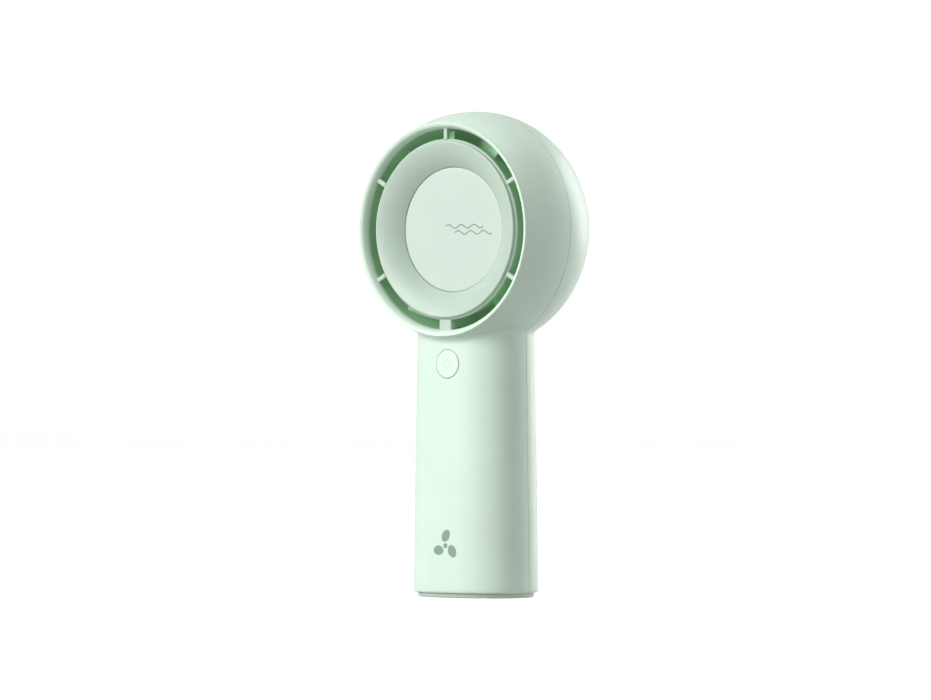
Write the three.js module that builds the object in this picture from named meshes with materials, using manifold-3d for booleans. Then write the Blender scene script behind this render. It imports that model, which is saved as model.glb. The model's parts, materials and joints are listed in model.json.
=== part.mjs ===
// Handheld electric fan: a round turbo head on a tapered oval handle that stands on its foot.
// Millimetres, +Z up, air leaves towards -Y. The origin is the centre of the foot's flat underside.
// The head is turned about an axis parallel to Y, HEAD_Z above the base.
import * as THREE from "three";
import { mergeVertices } from "three/addons/utils/BufferGeometryUtils.js";
import Module from "manifold-3d";

const wasm = await Module();
wasm.setup();

// ---- driving dimensions ----
const HEIGHT = 150;
const HEAD_R = 36.6; // widest radius of the head, where its two shells meet
const HEAD_Z = HEIGHT - HEAD_R;
const FRONT_Y = -17; // front plane of the outlet lip
const SEAM_Y = 0.7; // parting plane of the two shells
const DOME_DEPTH = 31.1; // from the parting plane to the back of the head
const BARREL_AXIS = 39; // semi-axis along Y of the ellipse that the front barrel follows
const WALL = 1.8;
const GAP = 0.3; // clearance between neighbouring pieces
const SEAM_HALF_GAP = GAP / 2;
const OVERLAP = 0.2; // by which bodies of one piece run into each other
const BLADE_ROOT = 0.7; // depth of a blade's or vane's root in its hub

const LIP_OUTER_R = 32.9;
const LIP_INNER_R = 31.44;
const LIP_BACK_Y = -14;
const LIP_FILLET = 1.1; // round from the lip's front into the outlet
const LIP_EDGE = 0.2; // bevel between the lip's front and the barrel
const DISH_R = 27.2; // rim of the dish that fills the middle of the outlet
const DISH_RIM_Y = -15.86;
const DISH_SLOPE = [14, 47]; // degrees from flat, at the dish's rim and at the disc
const DISH_SKIN = 1.3;
const DISH_EDGE = 0.35; // bevel on the dish's rim
const DISC_R = 19.3; // flat disc at the bottom of the dish
const DISC_Y = -11.05;
const DISC_THICKNESS = 1.2;
const DISC_SHRINK = 0.15; // the disc stands this much inside DISC_R, and its seat a little more outside
const DISC_SEAT_R = DISC_R + 0.2;
const DISC_BEVEL = 0.3;
const SKIRT_BACK_Y = -13.9; // back of the dish's outer skirt
const RIB_FRONT_Y = -15.5;
const RIB_BACK_Y = SKIRT_BACK_Y;
const RIB_WIDTH = 1.4;
const WIDE_RIB_WIDTH = 4.6; // the rib at the bottom
const GRILLE_R = 24.7; // rear intake cap
const GRILLE_THICKNESS = 1.6;
const GRILLE_SKIRT = 3; // depth of the cap's rim
const INTAKE_SLOTS = [[6.5, 12.5, 12], [14.5, 22, 24]]; // inner radius, outer radius, count

const HANDLE_HALF_WIDTH = 20.54; // at the base
const HANDLE_HALF_DEPTH = 15.31;
const HANDLE_TAPER = 0.0168; // lost from each half size for every millimetre of height
const HANDLE_POWER = 2.3; // exponent of the superellipse section
const HANDLE_TOP_Z = 92; // inside the head
const FOOT_HEIGHT = 1.5;
const FOOT_INSET = 1.2;

const BUTTON_Z = 72;
const BUTTON_R = 4.4;
const BUTTON_TRAVEL = 0.4;
const BUTTON_FACE_Y = -14.05;
const BUTTON_BEVEL = 0.35;
const BUTTON_FLANGE_R = 5.8;
const BUTTON_FLANGE_Y = [-11.5, -10.9];
const RIB_COUNT = 6;
const BLADE_COUNT = 9;
const VANE_COUNT = 9;

const BATTERY_R = 9.2; // an 18650 cell in its wrap
const BATTERY_LENGTH = 65;
const BATTERY_Y = 2.65;
const BATTERY_Z = 12.5;
const BATTERY_CAP_R = 3;
const BATTERY_CAP = 0.9; // height of the button on the cell's end
const CRADLE_X = [7, 14.5]; // from the middle
const CRADLE_Y = [-3, 6.5];
const CRADLE_Z = [20, 72];
const PCB_FRONT_Y = -7.9;
const PCB_THICKNESS = 1;
const PCB_HALF_WIDTH = 12;
const PCB_Z = [34, 78.5];
const CHARGE_PCB_HALF_WIDTH = 8.5;
const CHARGE_PCB_Y = [-2, 11.9];
const CHARGE_PCB_Z = 5.2;

const HEAD_SEGMENTS = 36;
const CORE_SEGMENTS = 24;
const SMALL_SEGMENTS = 8;
const HANDLE_SEGMENTS = 32;

// ---- colours: [colour, roughness, metalness] ----
const MINT = ["#d9ecdc", 0.5, 0];
const PALE_MINT = ["#dfede1", 0.45, 0];
const DEEP_MINT = ["#9fc3a6", 0.55, 0];
const FOOT_GREY = ["#8fa497", 0.7, 0];
const STEEL = ["#b4b8ba", 0.3, 1];
const DARK_STEEL = ["#6c7072", 0.35, 1];
const MAGNET = ["#4a4a4e", 0.45, 0.6];
const COPPER = ["#b5673a", 0.35, 1];
const BOARD = ["#2f6b48", 0.5, 0];
const BLACK_PLASTIC = ["#232527", 0.6, 0];
const WHITE_PLASTIC = ["#e8e8e4", 0.5, 0];
const CELL_WRAP = ["#3f7fb0", 0.4, 0];
const NICKEL = ["#c9c6bd", 0.3, 1];
const RED_WIRE = ["#b23a34", 0.6, 0];
const BLACK_WIRE = ["#2a2a2c", 0.6, 0];
const LED_LENS = ["#f3f4ea", 0.2, 0];

// ---- solids ----
function solid(geometry) {
  const bare = geometry.clone();
  bare.deleteAttribute("normal");
  bare.deleteAttribute("uv");
  const merged = mergeVertices(bare, 1e-4);
  const place = merged.getAttribute("position");
  const corner = [new THREE.Vector3(), new THREE.Vector3(), new THREE.Vector3()];
  const triangles = [];
  let volume = 0;
  for (let i = 0; i < merged.index.count; i += 3) {
    const ids = [0, 1, 2].map((k) => merged.index.getX(i + k));
    if (new Set(ids).size < 3) continue;
    ids.forEach((id, k) => corner[k].fromBufferAttribute(place, id));
    volume += corner[0].dot(corner[1].clone().cross(corner[2]));
    triangles.push(ids);
  }
  const turned = volume < 0 ? triangles.map(([a, b, c]) => [a, c, b]) : triangles;
  const vertProperties = new Float32Array(place.array);
  const triVerts = new Uint32Array(turned.flat());
  return new wasm.Manifold(new wasm.Mesh({ numProp: 3, vertProperties, triVerts }));
}

function geometryOf(manifold) {
  const mesh = manifold.getMesh();
  const geometry = new THREE.BufferGeometry();
  geometry.setAttribute("position", new THREE.BufferAttribute(mesh.vertProperties, 3));
  geometry.setIndex(new THREE.BufferAttribute(mesh.triVerts, 1));
  geometry.computeVertexNormals();
  return geometry;
}

const joined = (pieces) => pieces.reduce((whole, piece) => whole.add(piece));
const cut = (body, cutters) => cutters.reduce((whole, cutter) => whole.subtract(cutter), body);

// A profile of [radius, y] points, turned about the head's axis.
function turned(profile, segments = CORE_SEGMENTS) {
  const points = profile.map(([r, y]) => new THREE.Vector2(r, y));
  const onAxis = profile[0][0] === 0 && profile[profile.length - 1][0] === 0;
  if (!onAxis) points.push(points[0].clone());
  return solid(new THREE.LatheGeometry(points, segments).translate(0, 0, HEAD_Z));
}

// A ring or disc on the head's axis.
const ring = (inner, outer, y0, y1, segments = CORE_SEGMENTS) =>
  inner > 0
    ? turned([[inner, y0], [outer, y0], [outer, y1], [inner, y1]], segments)
    : turned([[0, y0], [outer, y0], [outer, y1], [0, y1]], segments);

function block(x0, x1, y0, y1, z0, z1) {
  const box = new THREE.BoxGeometry(x1 - x0, y1 - y0, z1 - z0);
  return solid(box.translate((x0 + x1) / 2, (y0 + y1) / 2, (z0 + z1) / 2));
}

// A round bar along Y.
function barY(x, z, radius, y0, y1, segments = SMALL_SEGMENTS) {
  const bar = new THREE.CylinderGeometry(radius, radius, y1 - y0, segments);
  return solid(bar.translate(x, (y0 + y1) / 2, z));
}

// A round bar along Z.
function barZ(x, y, radius, z0, z1, segments = SMALL_SEGMENTS) {
  const bar = new THREE.CylinderGeometry(radius, radius, z1 - z0, segments);
  return solid(bar.rotateX(Math.PI / 2).translate(x, y, (z0 + z1) / 2));
}

// A flat outline of [x, z] points about the head's axis, raised from y0 to y1.
function prismY(outline, y0, y1) {
  const shape = new THREE.Shape(outline.map(([x, z]) => new THREE.Vector2(x, z)));
  const options = { depth: y1 - y0, bevelEnabled: false, steps: 1 };
  const geometry = new THREE.ExtrudeGeometry(shape, options);
  return solid(geometry.rotateX(Math.PI / 2).translate(0, y1, HEAD_Z));
}

// A sector of an annulus in the plane square to the head's axis.
function sector(inner, outer, middle, half, steps) {
  const angles = spread(steps + 1, middle - half, middle + half);
  const arc = (radius) => angles.map((angle) => [radius * Math.cos(angle), radius * Math.sin(angle)]);
  return [...arc(inner), ...arc(outer).reverse()];
}

// A blade between two surfaces of revolution: from rootAt(y) to tipAt(y), turned by angleAt(s).
function blade(rootAt, tipAt, y0, y1, angleAt, thickness, radialSteps, axialSteps) {
  const box = new THREE.BoxGeometry(1, 1, 1, radialSteps, axialSteps, 1);
  const place = box.getAttribute("position");
  for (let i = 0; i < place.count; i++) {
    const s = place.getY(i) + 0.5;
    const y = y0 + s * (y1 - y0);
    const root = rootAt(y);
    const r = root + (place.getX(i) + 0.5) * (tipAt(y) - root);
    const angle = angleAt(s) + (place.getZ(i) * thickness) / r;
    place.setXYZ(i, r * Math.cos(angle), y, HEAD_Z + r * Math.sin(angle));
  }
  return solid(box);
}

// A round wire through a list of points.
function wire(points, radius, steps) {
  const curve = new THREE.CatmullRomCurve3(points.map((p) => new THREE.Vector3(...p)));
  const section = new THREE.Shape();
  section.absarc(0, 0, radius, 0, 2 * Math.PI);
  const options = { extrudePath: curve, steps, curveSegments: 4, bevelEnabled: false };
  return solid(new THREE.ExtrudeGeometry(section, options));
}

// Straight lines between [y, radius] knots.
const along = (knots) => (y) => {
  const last = knots.length - 1;
  let i = 0;
  while (i < last - 1 && y > knots[i + 1][0]) i++;
  const [ya, ra] = knots[i];
  const [yb, rb] = knots[i + 1];
  return ra + ((rb - ra) * (y - ya)) / (yb - ya);
};

const spread = (count, from, to) =>
  Array.from({ length: count }, (_, i) => from + ((to - from) * i) / (count - 1));

const onHead = (radius, angle) => [radius * Math.cos(angle), HEAD_Z + radius * Math.sin(angle)];

const degrees = THREE.MathUtils.degToRad;

// ---- outer form of the head and handle ----
const barrelRadius = (y) => HEAD_R * Math.sqrt(1 - ((y - SEAM_Y) / BARREL_AXIS) ** 2);

// The rear dome, or a dome inset from it, from its edge to the ring of the given radius.
function domePoints(inset, endRadius, count) {
  const radius = HEAD_R - inset;
  const depth = DOME_DEPTH - inset;
  const start = Math.asin(SEAM_HALF_GAP / depth);
  return spread(count, start, Math.acos(endRadius / radius)).map((t) => [
    radius * Math.cos(t),
    SEAM_Y + depth * Math.sin(t),
  ]);
}

const domeY = (inset, radius) =>
  SEAM_Y + (DOME_DEPTH - inset) * Math.sqrt(1 - (radius / (HEAD_R - inset)) ** 2);

// The handle's section at the base, inset all round; the taper is applied up its height.
function handleSolid(inset, z0, z1) {
  const power = 2 / HANDLE_POWER;
  const outline = spread(HANDLE_SEGMENTS + 1, 0, 2 * Math.PI)
    .slice(0, HANDLE_SEGMENTS)
    .map((t) => [
      Math.sign(Math.cos(t)) * Math.abs(Math.cos(t)) ** power,
      Math.sign(Math.sin(t)) * Math.abs(Math.sin(t)) ** power,
    ]);
  const shape = new THREE.Shape(outline.map(([x, y]) => new THREE.Vector2(x, y)));
  const geometry = new THREE.ExtrudeGeometry(shape, { depth: 1, bevelEnabled: false, steps: 1 });
  const place = geometry.getAttribute("position");
  for (let i = 0; i < place.count; i++) {
    const z = z0 + place.getZ(i) * (z1 - z0);
    const halfWidth = HANDLE_HALF_WIDTH - HANDLE_TAPER * z - inset;
    const halfDepth = HANDLE_HALF_DEPTH - HANDLE_TAPER * z - inset;
    place.setXYZ(i, place.getX(i) * halfWidth, place.getY(i) * halfDepth, z);
  }
  return solid(geometry);
}

// ---- fastener places ----
const DUCT_SCREW_R = 33; // from the head's axis
const DUCT_SCREW_ANGLES = [90, 210, 330].map(degrees);
const MOTOR_SCREW_R = 9;
const MOTOR_SCREW_ANGLES = [30, 150, 270].map(degrees);
const PCB_SCREWS = [[-9.5, 42], [9.5, 42]];
const FOOT_SCREWS = [[-11.5, -9.9], [11.5, -9.9], [-11.5, 9.9], [11.5, 9.9]];
const FOOT_SCREW_HEAD_Z = 0.4;
const SCREW_R = 0.6;
const SCREW_HEAD_R = 1.2;
const SCREW_HOLE_R = SCREW_R + GAP;
const SCREW_HEAD = 0.9;
const BOSS_R = 1.7;
const BOSS_FLOOR = 1; // solid end of a boss behind its screw hole
const DUCT_BOSS_Y = [-5, -1.5];
const PCB_BOSS_Y = [-12.9, PCB_FRONT_Y - GAP];
const FOOT_BOSS_Z0 = 3.9;
const FOOT_BOSS_Z1 = 10;
const BEYOND = 60; // past the fan's surface on every side
const USB_Z = 8.1; // middle of the charging socket
const USB_HALF_WIDTH = 4.45;
const USB_HALF_HEIGHT = 1.6;
const USB_BACK_Y = 7.2;
const USB_MOUTH_Y = 14.4;
const USB_SKIN = 0.35;
const TONGUE_HALF_WIDTH = 3.2;
const TONGUE_HALF_HEIGHT = 0.35;

const footBosses = (side) =>
  FOOT_SCREWS.filter(([, y]) => Math.sign(y) === side).map(([x, y]) =>
    barZ(x, y, BOSS_R, FOOT_BOSS_Z0, FOOT_BOSS_Z1).subtract(
      barZ(x, y, SCREW_HOLE_R, FOOT_BOSS_Z0 - 1, FOOT_BOSS_Z1 - BOSS_FLOOR)
    )
  );

// A boss along Y with a screw hole from its rear end, floor short of its front end.
const bossY = (x, z, [y0, y1], floor) =>
  barY(x, z, BOSS_R, y0, y1).subtract(barY(x, z, SCREW_HOLE_R, y0 + floor, y1 + 1));

// ---- housing ----
function frontShell() {
  const edge = SEAM_Y - SEAM_HALF_GAP;
  const stations = spread(4, LIP_BACK_Y, edge);
  const outside = [FRONT_Y + 0.9, ...stations].map((y) => [barrelRadius(y), y]);
  const inside = stations.map((y) => [barrelRadius(y) - WALL, y]);
  const fillet = spread(3, Math.PI, 1.5 * Math.PI).map((t) => [
    LIP_INNER_R + LIP_FILLET * (1 + Math.cos(t)),
    FRONT_Y + LIP_FILLET * (1 + Math.sin(t)),
  ]);
  const edgeBevel = [[LIP_OUTER_R - LIP_EDGE, FRONT_Y], [LIP_OUTER_R, FRONT_Y + LIP_EDGE]];
  const barrel = turned(
    [[LIP_INNER_R, LIP_BACK_Y], ...fillet, ...edgeBevel, ...outside, ...inside.slice().reverse()],
    HEAD_SEGMENTS
  );
  const bore = turned(
    [[0, FRONT_Y - 3], [LIP_INNER_R, FRONT_Y - 3], [LIP_INNER_R, LIP_BACK_Y], ...inside,
      [HEAD_R - WALL, edge + 1], [0, edge + 1]],
    HEAD_SEGMENTS
  );
  const behindSeam = block(-BEYOND, BEYOND, edge, BEYOND, -BEYOND, HEIGHT + BEYOND);
  const handle = cut(handleSolid(0, FOOT_HEIGHT, HANDLE_TOP_Z), [behindSeam, bore]);
  const hollow = handleSolid(WALL, FOOT_HEIGHT - 1, HANDLE_TOP_Z);
  const buttonHole = barY(0, BUTTON_Z, BUTTON_R + GAP, FRONT_Y, BUTTON_FLANGE_Y[1], CORE_SEGMENTS);
  const shell = cut(barrel.add(handle), [hollow, buttonHole]);
  const ductBosses = DUCT_SCREW_ANGLES.map((angle) =>
    bossY(...onHead(DUCT_SCREW_R, angle), DUCT_BOSS_Y, 0.3)
  );
  const pcbBosses = PCB_SCREWS.map(([x, z]) => bossY(x, z, PCB_BOSS_Y, 1.3));
  return joined([shell, ...ductBosses, ...pcbBosses, ...footBosses(-1)]);
}

// Slot or tube outline with round ends, as a solid along Y at the charging socket's place.
function socketShape(halfWidth, halfHeight, y0, y1) {
  const round = halfWidth - halfHeight;
  return joined([
    block(-round, round, y0, y1, USB_Z - halfHeight, USB_Z + halfHeight),
    barY(-round, USB_Z, halfHeight, y0, y1, 12),
    barY(round, USB_Z, halfHeight, y0, y1, 12),
  ]);
}

function rearShell() {
  const edge = SEAM_Y + SEAM_HALF_GAP;
  const mouth = GRILLE_R + GAP;
  const outside = domePoints(0, mouth, 5);
  const inside = domePoints(WALL, mouth, 5).reverse();
  const dome = turned([...outside, ...inside], HEAD_SEGMENTS);
  const bore = turned(
    [[0, edge - 1], [HEAD_R - WALL, edge - 1], ...inside.slice().reverse(),
      [0, domeY(WALL, mouth)]],
    HEAD_SEGMENTS
  );
  const beforeSeam = block(-BEYOND, BEYOND, -BEYOND, edge, -BEYOND, HEIGHT + BEYOND);
  const handle = cut(handleSolid(0, FOOT_HEIGHT, HANDLE_TOP_Z), [beforeSeam, bore]);
  const hollow = handleSolid(WALL, FOOT_HEIGHT - 1, HANDLE_TOP_Z);
  const usbSlot = socketShape(USB_HALF_WIDTH + GAP, USB_HALF_HEIGHT + GAP, USB_MOUTH_Y - 4, BEYOND);
  return joined([cut(dome.add(handle), [hollow, usbSlot]), ...footBosses(1)]);
}

// A domed cap with two rings of slots between a solid middle and a plain rim.
function intakeGrille() {
  const skirtY = domeY(0, GRILLE_R) - GRILLE_SKIRT;
  const skirtInner = GRILLE_R - 1.4;
  const radii = [18, 9];
  const outside = radii.map((r) => [r, domeY(0, r)]);
  const inside = radii.map((r) => [r, domeY(GRILLE_THICKNESS, r)]).reverse();
  const cap = turned(
    [[0, domeY(GRILLE_THICKNESS, 0)], ...inside,
      [skirtInner, domeY(GRILLE_THICKNESS, skirtInner) - 0.1], [skirtInner, skirtY],
      [GRILLE_R, skirtY], [GRILLE_R, domeY(0, GRILLE_R)], ...outside, [0, domeY(0, 0)]],
    HEAD_SEGMENTS
  );
  const slots = [];
  for (const [inner, outer, count] of INTAKE_SLOTS) {
    for (let i = 0; i < count; i++) {
      const middle = ((i + 0.5) * 2 * Math.PI) / count;
      const half = (0.52 * Math.PI) / count;
      slots.push(prismY(sector(inner, outer, middle, half, 1), skirtY, BEYOND));
    }
  }
  return cut(cap, slots);
}

function baseFoot() {
  const plate = handleSolid(FOOT_INSET, 0, FOOT_HEIGHT - GAP);
  const plug = handleSolid(WALL + GAP, FOOT_HEIGHT - 0.5, FOOT_BOSS_Z0 - GAP);
  const holes = FOOT_SCREWS.flatMap(([x, y]) => [
    barZ(x, y, SCREW_HOLE_R, -1, FOOT_BOSS_Z0),
    barZ(x, y, SCREW_HEAD_R + GAP, -1, FOOT_SCREW_HEAD_Z + SCREW_HEAD + GAP),
  ]);
  return cut(plate.add(plug), holes);
}

// ---- outlet ----
// Each rib ends in a leg and a hook, which snaps behind the lip in a notch of the duct.
const RIB_TIP_R = LIP_INNER_R * Math.cos(Math.PI / HEAD_SEGMENTS) - GAP;
const RIB_ROOT_R = DISH_R - 0.8; // inside the dish's skirt
const LEG_R = 30.2;
const HOOK_R = 31.65;
const HOOK_Y = [LIP_BACK_Y + GAP, -12.6];

const ribAngle = (i) => degrees(90 + (i * 360) / RIB_COUNT);
const ribWidth = (i) => (i === RIB_COUNT / 2 ? WIDE_RIB_WIDTH : RIB_WIDTH);

// A straight bar across the air channel, square to the head's axis.
const spoke = (inner, outer, y0, y1, angle, width) =>
  blade(() => inner, () => outer, y0, y1, () => angle, width, 1, 1);

// The dish's face as [radius, y] points from rim to disc; its slope grows evenly on the way in.
function dishFace(steps) {
  const radii = spread(steps + 1, DISH_R - DISH_EDGE, DISC_SEAT_R);
  const tilts = spread(steps + 1, ...DISH_SLOPE.map(degrees));
  const falls = [0];
  for (let i = 1; i <= steps; i++) {
    falls.push(falls[i - 1] + (radii[i - 1] - radii[i]) * Math.tan((tilts[i - 1] + tilts[i]) / 2));
  }
  const scale = (DISC_Y - DISH_RIM_Y) / falls[steps];
  return radii.map((r, i) => [r, DISH_RIM_Y + falls[i] * scale]);
}

// Dish and six ribs, moulded as one.
function frontGrille() {
  const floorY = DISC_Y + DISC_THICKNESS + GAP;
  const face = dishFace(5);
  const back = face.slice(1, -1).map(([r, y]) => [r - DISH_SKIN / 3, y + DISH_SKIN]);
  const dish = turned(
    [[0, floorY], [DISC_SEAT_R, floorY], ...face.slice().reverse(),
      [DISH_R, DISH_RIM_Y + DISH_EDGE], [DISH_R, SKIRT_BACK_Y], [DISH_R - DISH_SKIN, SKIRT_BACK_Y],
      ...back, [DISC_R - 1, floorY + DISH_SKIN], [0, floorY + DISH_SKIN]],
    HEAD_SEGMENTS
  );
  const ribs = Array.from({ length: RIB_COUNT }, (_, i) => {
    const place = [ribAngle(i), ribWidth(i)];
    return joined([
      spoke(RIB_ROOT_R, RIB_TIP_R, RIB_FRONT_Y, RIB_BACK_Y, ...place),
      spoke(LEG_R, RIB_TIP_R, RIB_BACK_Y - OVERLAP, HOOK_Y[1], ...place),
      spoke(RIB_TIP_R - OVERLAP, HOOK_R, ...HOOK_Y, ...place),
    ]);
  });
  return joined([dish, ...ribs]);
}

function centerDisc() {
  const edge = DISC_R - DISC_SHRINK;
  return turned(
    [[0, DISC_Y], [edge - DISC_BEVEL, DISC_Y], [edge, DISC_Y + DISC_BEVEL],
      [edge, DISC_Y + DISC_THICKNESS], [0, DISC_Y + DISC_THICKNESS]],
    HEAD_SEGMENTS
  );
}

// ---- air path ----
const DUCT_INNER = [[-13.7, 31.44], [-12.4, 31.42], [-9, 30.7], [-5, 29.6], [-1, 28.2],
  [3, 27.1], [5.5, 26.6], [16.8, 26.6]];
const DUCT_WALL = 1.2;
const DUCT_EDGE_WALL = 0.35; // at its front edge, inside the shell
const ductRadius = along(DUCT_INNER);
const POD_OUTER = [[-13.6, 26.9], [-9, 26.6], [-4.5, 25.2], [0, 22.6], [3.2, 20.2]];
const POD_INNER = [[7, 3.2], [7, 1.8], [19, 1.8], [21.3, -1], [23.8, -5], [25.4, -9.3], [25.7, -13.6]];
const podRadius = along(POD_OUTER);
const VANE_Y = [-11, 2];
const VANE_LEAN = 40; // degrees over the depth of the vanes
const VANE_THICKNESS = 1;
const STRUT_Y = [-10, -3.6];
const STRUT_WIDTH = 5;
const CABLE_SLOT = [-9, -4.6]; // where the motor leads pass through the duct and the pod
const CABLE_SLOT_HALF = 1.7;
const LUG_Y = [-1.2, 0.4];
const LUG_R = 1.5;
const LUG_ROOT_R = 29; // inside the duct's wall
const LUG_WIDTH = 2.6;
const STRUT_ANGLE = degrees(270); // straight down, towards the handle

const cableSlot = () =>
  block(-CABLE_SLOT_HALF, CABLE_SLOT_HALF, ...CABLE_SLOT, HEAD_Z - DUCT_SCREW_R, HEAD_Z - 20);

function airDuct() {
  const inside = DUCT_INNER.map(([y, r]) => [r, y]);
  const outside = DUCT_INNER.map(([y, r], i) => [r + (i < 2 ? DUCT_EDGE_WALL : DUCT_WALL), y]);
  const wall = turned([...inside, ...outside.reverse()], HEAD_SEGMENTS);
  const lugs = DUCT_SCREW_ANGLES.map((angle) => {
    const web = spoke(LUG_ROOT_R, DUCT_SCREW_R, ...LUG_Y, angle, LUG_WIDTH);
    return web.add(barY(...onHead(DUCT_SCREW_R, angle), LUG_R, ...LUG_Y));
  });
  const holes = DUCT_SCREW_ANGLES.map((angle) =>
    barY(...onHead(DUCT_SCREW_R, angle), SCREW_HOLE_R, LUG_Y[0] - 1, LUG_Y[1] + 1)
  );
  const notches = Array.from({ length: RIB_COUNT }, (_, i) =>
    spoke(LEG_R, HEAD_R, HOOK_Y[0] - 1, HOOK_Y[1] + GAP, ribAngle(i), ribWidth(i) + 2 * GAP)
  );
  return cut(joined([wall, ...lugs]), [...holes, ...notches, cableSlot()]);
}

// Inner pod with the vanes that straighten the flow, and the hollow strut for the motor leads.
function guideVaneRing() {
  const outside = POD_OUTER.map(([y, r]) => [r, y]);
  const pod = turned([...outside, ...POD_INNER], HEAD_SEGMENTS);
  const tip = (y) => ductRadius(y) - 1.5 * GAP;
  const root = (y) => podRadius(y) - BLADE_ROOT;
  const places = VANE_COUNT + 1; // the strut takes one
  const vanes = Array.from({ length: VANE_COUNT }, (_, i) => {
    const start = STRUT_ANGLE + degrees(((i + 1) * 360) / places);
    const lean = (s) => start + degrees(VANE_LEAN * s);
    return blade(root, tip, ...VANE_Y, lean, VANE_THICKNESS, 1, 4);
  });
  const strut = blade(root, tip, ...STRUT_Y, () => STRUT_ANGLE, STRUT_WIDTH, 1, 2);
  const holes = MOTOR_SCREW_ANGLES.map((angle) =>
    barY(...onHead(MOTOR_SCREW_R, angle), SCREW_HOLE_R, 1, 4)
  );
  return cut(joined([pod, ...vanes, strut]), [...holes, cableSlot()]);
}

// ---- rotor ----
const HUB_OUTER = [[4.2, 19.3], [8, 18.4], [12, 16.5], [14.6, 14], [16.2, 10], [16.9, 5]];
const HUB_NOSE_Y = 17;
const HUB_INNER = [[18, 4.2], [17.1, 7.9], [15.3, 11.5], [13.6, 13.3], [9.6, 14.8], [4, 15.4],
  [4, 13], [1.8, 13], [1.8, 15.5], [0, 15.5]];
const hubRadius = along(HUB_OUTER);
const BLADE_Y = [4.6, 14.6];
const BLADE_TIP_R = 26.1;
const BLADE_THICKNESS = 0.9;
const BLADE_SWEEP = [-46, 8]; // degrees, in proportion to the depth and to its square
const CUP_R = [12.3, 13.1]; // inner and outer radius of the rotor cup
const CUP_Y = [4.6, 12.7];
const CUP_FLOOR = 0.8;
const MAGNET_R = [10.9, 12];
const MAGNET_Y = [5.2, 10.8];
const SHAFT_R = 1.5;
const SHAFT_Y = [1.2, 15.2];
const BORE_R = SHAFT_R + GAP;

function impeller() {
  const outside = HUB_OUTER.map(([y, r]) => [r, y]);
  const hub = turned([[0, HUB_NOSE_Y], ...outside.reverse(), ...HUB_INNER]);
  const blades = Array.from({ length: BLADE_COUNT }, (_, i) => {
    const start = degrees((i * 360) / BLADE_COUNT);
    const sweep = (s) => start + degrees(BLADE_SWEEP[0] * s + BLADE_SWEEP[1] * s * s);
    const root = (y) => hubRadius(y) - BLADE_ROOT;
    return blade(root, () => BLADE_TIP_R, ...BLADE_Y, sweep, BLADE_THICKNESS, 1, 4);
  });
  return joined([hub, ...blades]);
}

const rotorCup = () =>
  turned([[CUP_R[0], CUP_Y[0]], [CUP_R[1], CUP_Y[0]], [CUP_R[1], CUP_Y[1]], [BORE_R, CUP_Y[1]],
    [BORE_R, CUP_Y[1] - CUP_FLOOR], [CUP_R[0], CUP_Y[1] - CUP_FLOOR]]);
const magnetRing = () => ring(...MAGNET_R, ...MAGNET_Y);
const motorShaft = () => ring(0, SHAFT_R, ...SHAFT_Y, 12);

// ---- motor stator ----
const BEARINGS = { front: [2.4, 4.9], rear: [8.3, 10.8] };
const INNER_RACE_R = [BORE_R, 2.4];
const OUTER_RACE_R = [3.1, 4];
const BEARING_TUBE_R = [4.3, 5.3]; // the motor base's tube, which holds both bearings
const BASE_R = 11;
const BASE_Y = [0.3, 1.5];
const CORE_Y = [5.6, 10.4];
const YOKE_R = [5.6, 7];
const POLE_COUNT = 6;
const POLE_WIDTH = 2;
const POLE_SHOE_R = [9.3, 10.5];
const POLE_SHOE_HALF = degrees(22);
const COIL_R = [7.4, 8.8];
const COIL_Y = [4.7, 11.3];
const COIL_WIDTH = 4.6;
const COIL_TUNNEL_WIDTH = POLE_WIDTH + 0.7;
const MOTOR_PCB_R = 13;
const MOTOR_PCB_Y = [-2.5, -1.5];

function motorBase() {
  const base = turned([[BEARING_TUBE_R[0], BASE_Y[0]], [BASE_R, BASE_Y[0]], [BASE_R, BASE_Y[1]],
    [BEARING_TUBE_R[1], BASE_Y[1]], [BEARING_TUBE_R[1], 11], [BEARING_TUBE_R[0], 11]]);
  const holes = MOTOR_SCREW_ANGLES.map((angle) =>
    barY(...onHead(MOTOR_SCREW_R, angle), SCREW_HOLE_R, 0, 2)
  );
  return cut(base, holes);
}

const poleAngle = (index) => degrees((index * 360) / POLE_COUNT);

function statorCore() {
  const yoke = ring(...YOKE_R, ...CORE_Y);
  const poles = Array.from({ length: POLE_COUNT }, (_, i) => {
    const angle = poleAngle(i);
    const tooth = spoke(YOKE_R[1] - 0.4, POLE_SHOE_R[0] + 0.5, ...CORE_Y, angle, POLE_WIDTH);
    return tooth.add(prismY(sector(...POLE_SHOE_R, angle, POLE_SHOE_HALF, 2), ...CORE_Y));
  });
  return joined([yoke, ...poles]);
}

function coil(index) {
  const outer = spoke(...COIL_R, ...COIL_Y, poleAngle(index), COIL_WIDTH);
  const tunnel = spoke(
    COIL_R[0] - 1, COIL_R[1] + 1, CORE_Y[0] - GAP, CORE_Y[1] + GAP, poleAngle(index), COIL_TUNNEL_WIDTH
  );
  return outer.subtract(tunnel);
}

const outerRace = (span) => ring(...OUTER_RACE_R, ...span, 16);
const innerRace = (span) => ring(...INNER_RACE_R, ...span, 16);
const motorPcb = () => ring(0, MOTOR_PCB_R, ...MOTOR_PCB_Y);

// ---- handle contents ----
function batteryCell() {
  const shoulder = BATTERY_Z + BATTERY_LENGTH - BATTERY_CAP;
  const can = barZ(0, BATTERY_Y, BATTERY_R, BATTERY_Z, shoulder, CORE_SEGMENTS);
  return can.add(barZ(0, BATTERY_Y, BATTERY_CAP_R, shoulder - OVERLAP, shoulder + BATTERY_CAP, 16));
}

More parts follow.
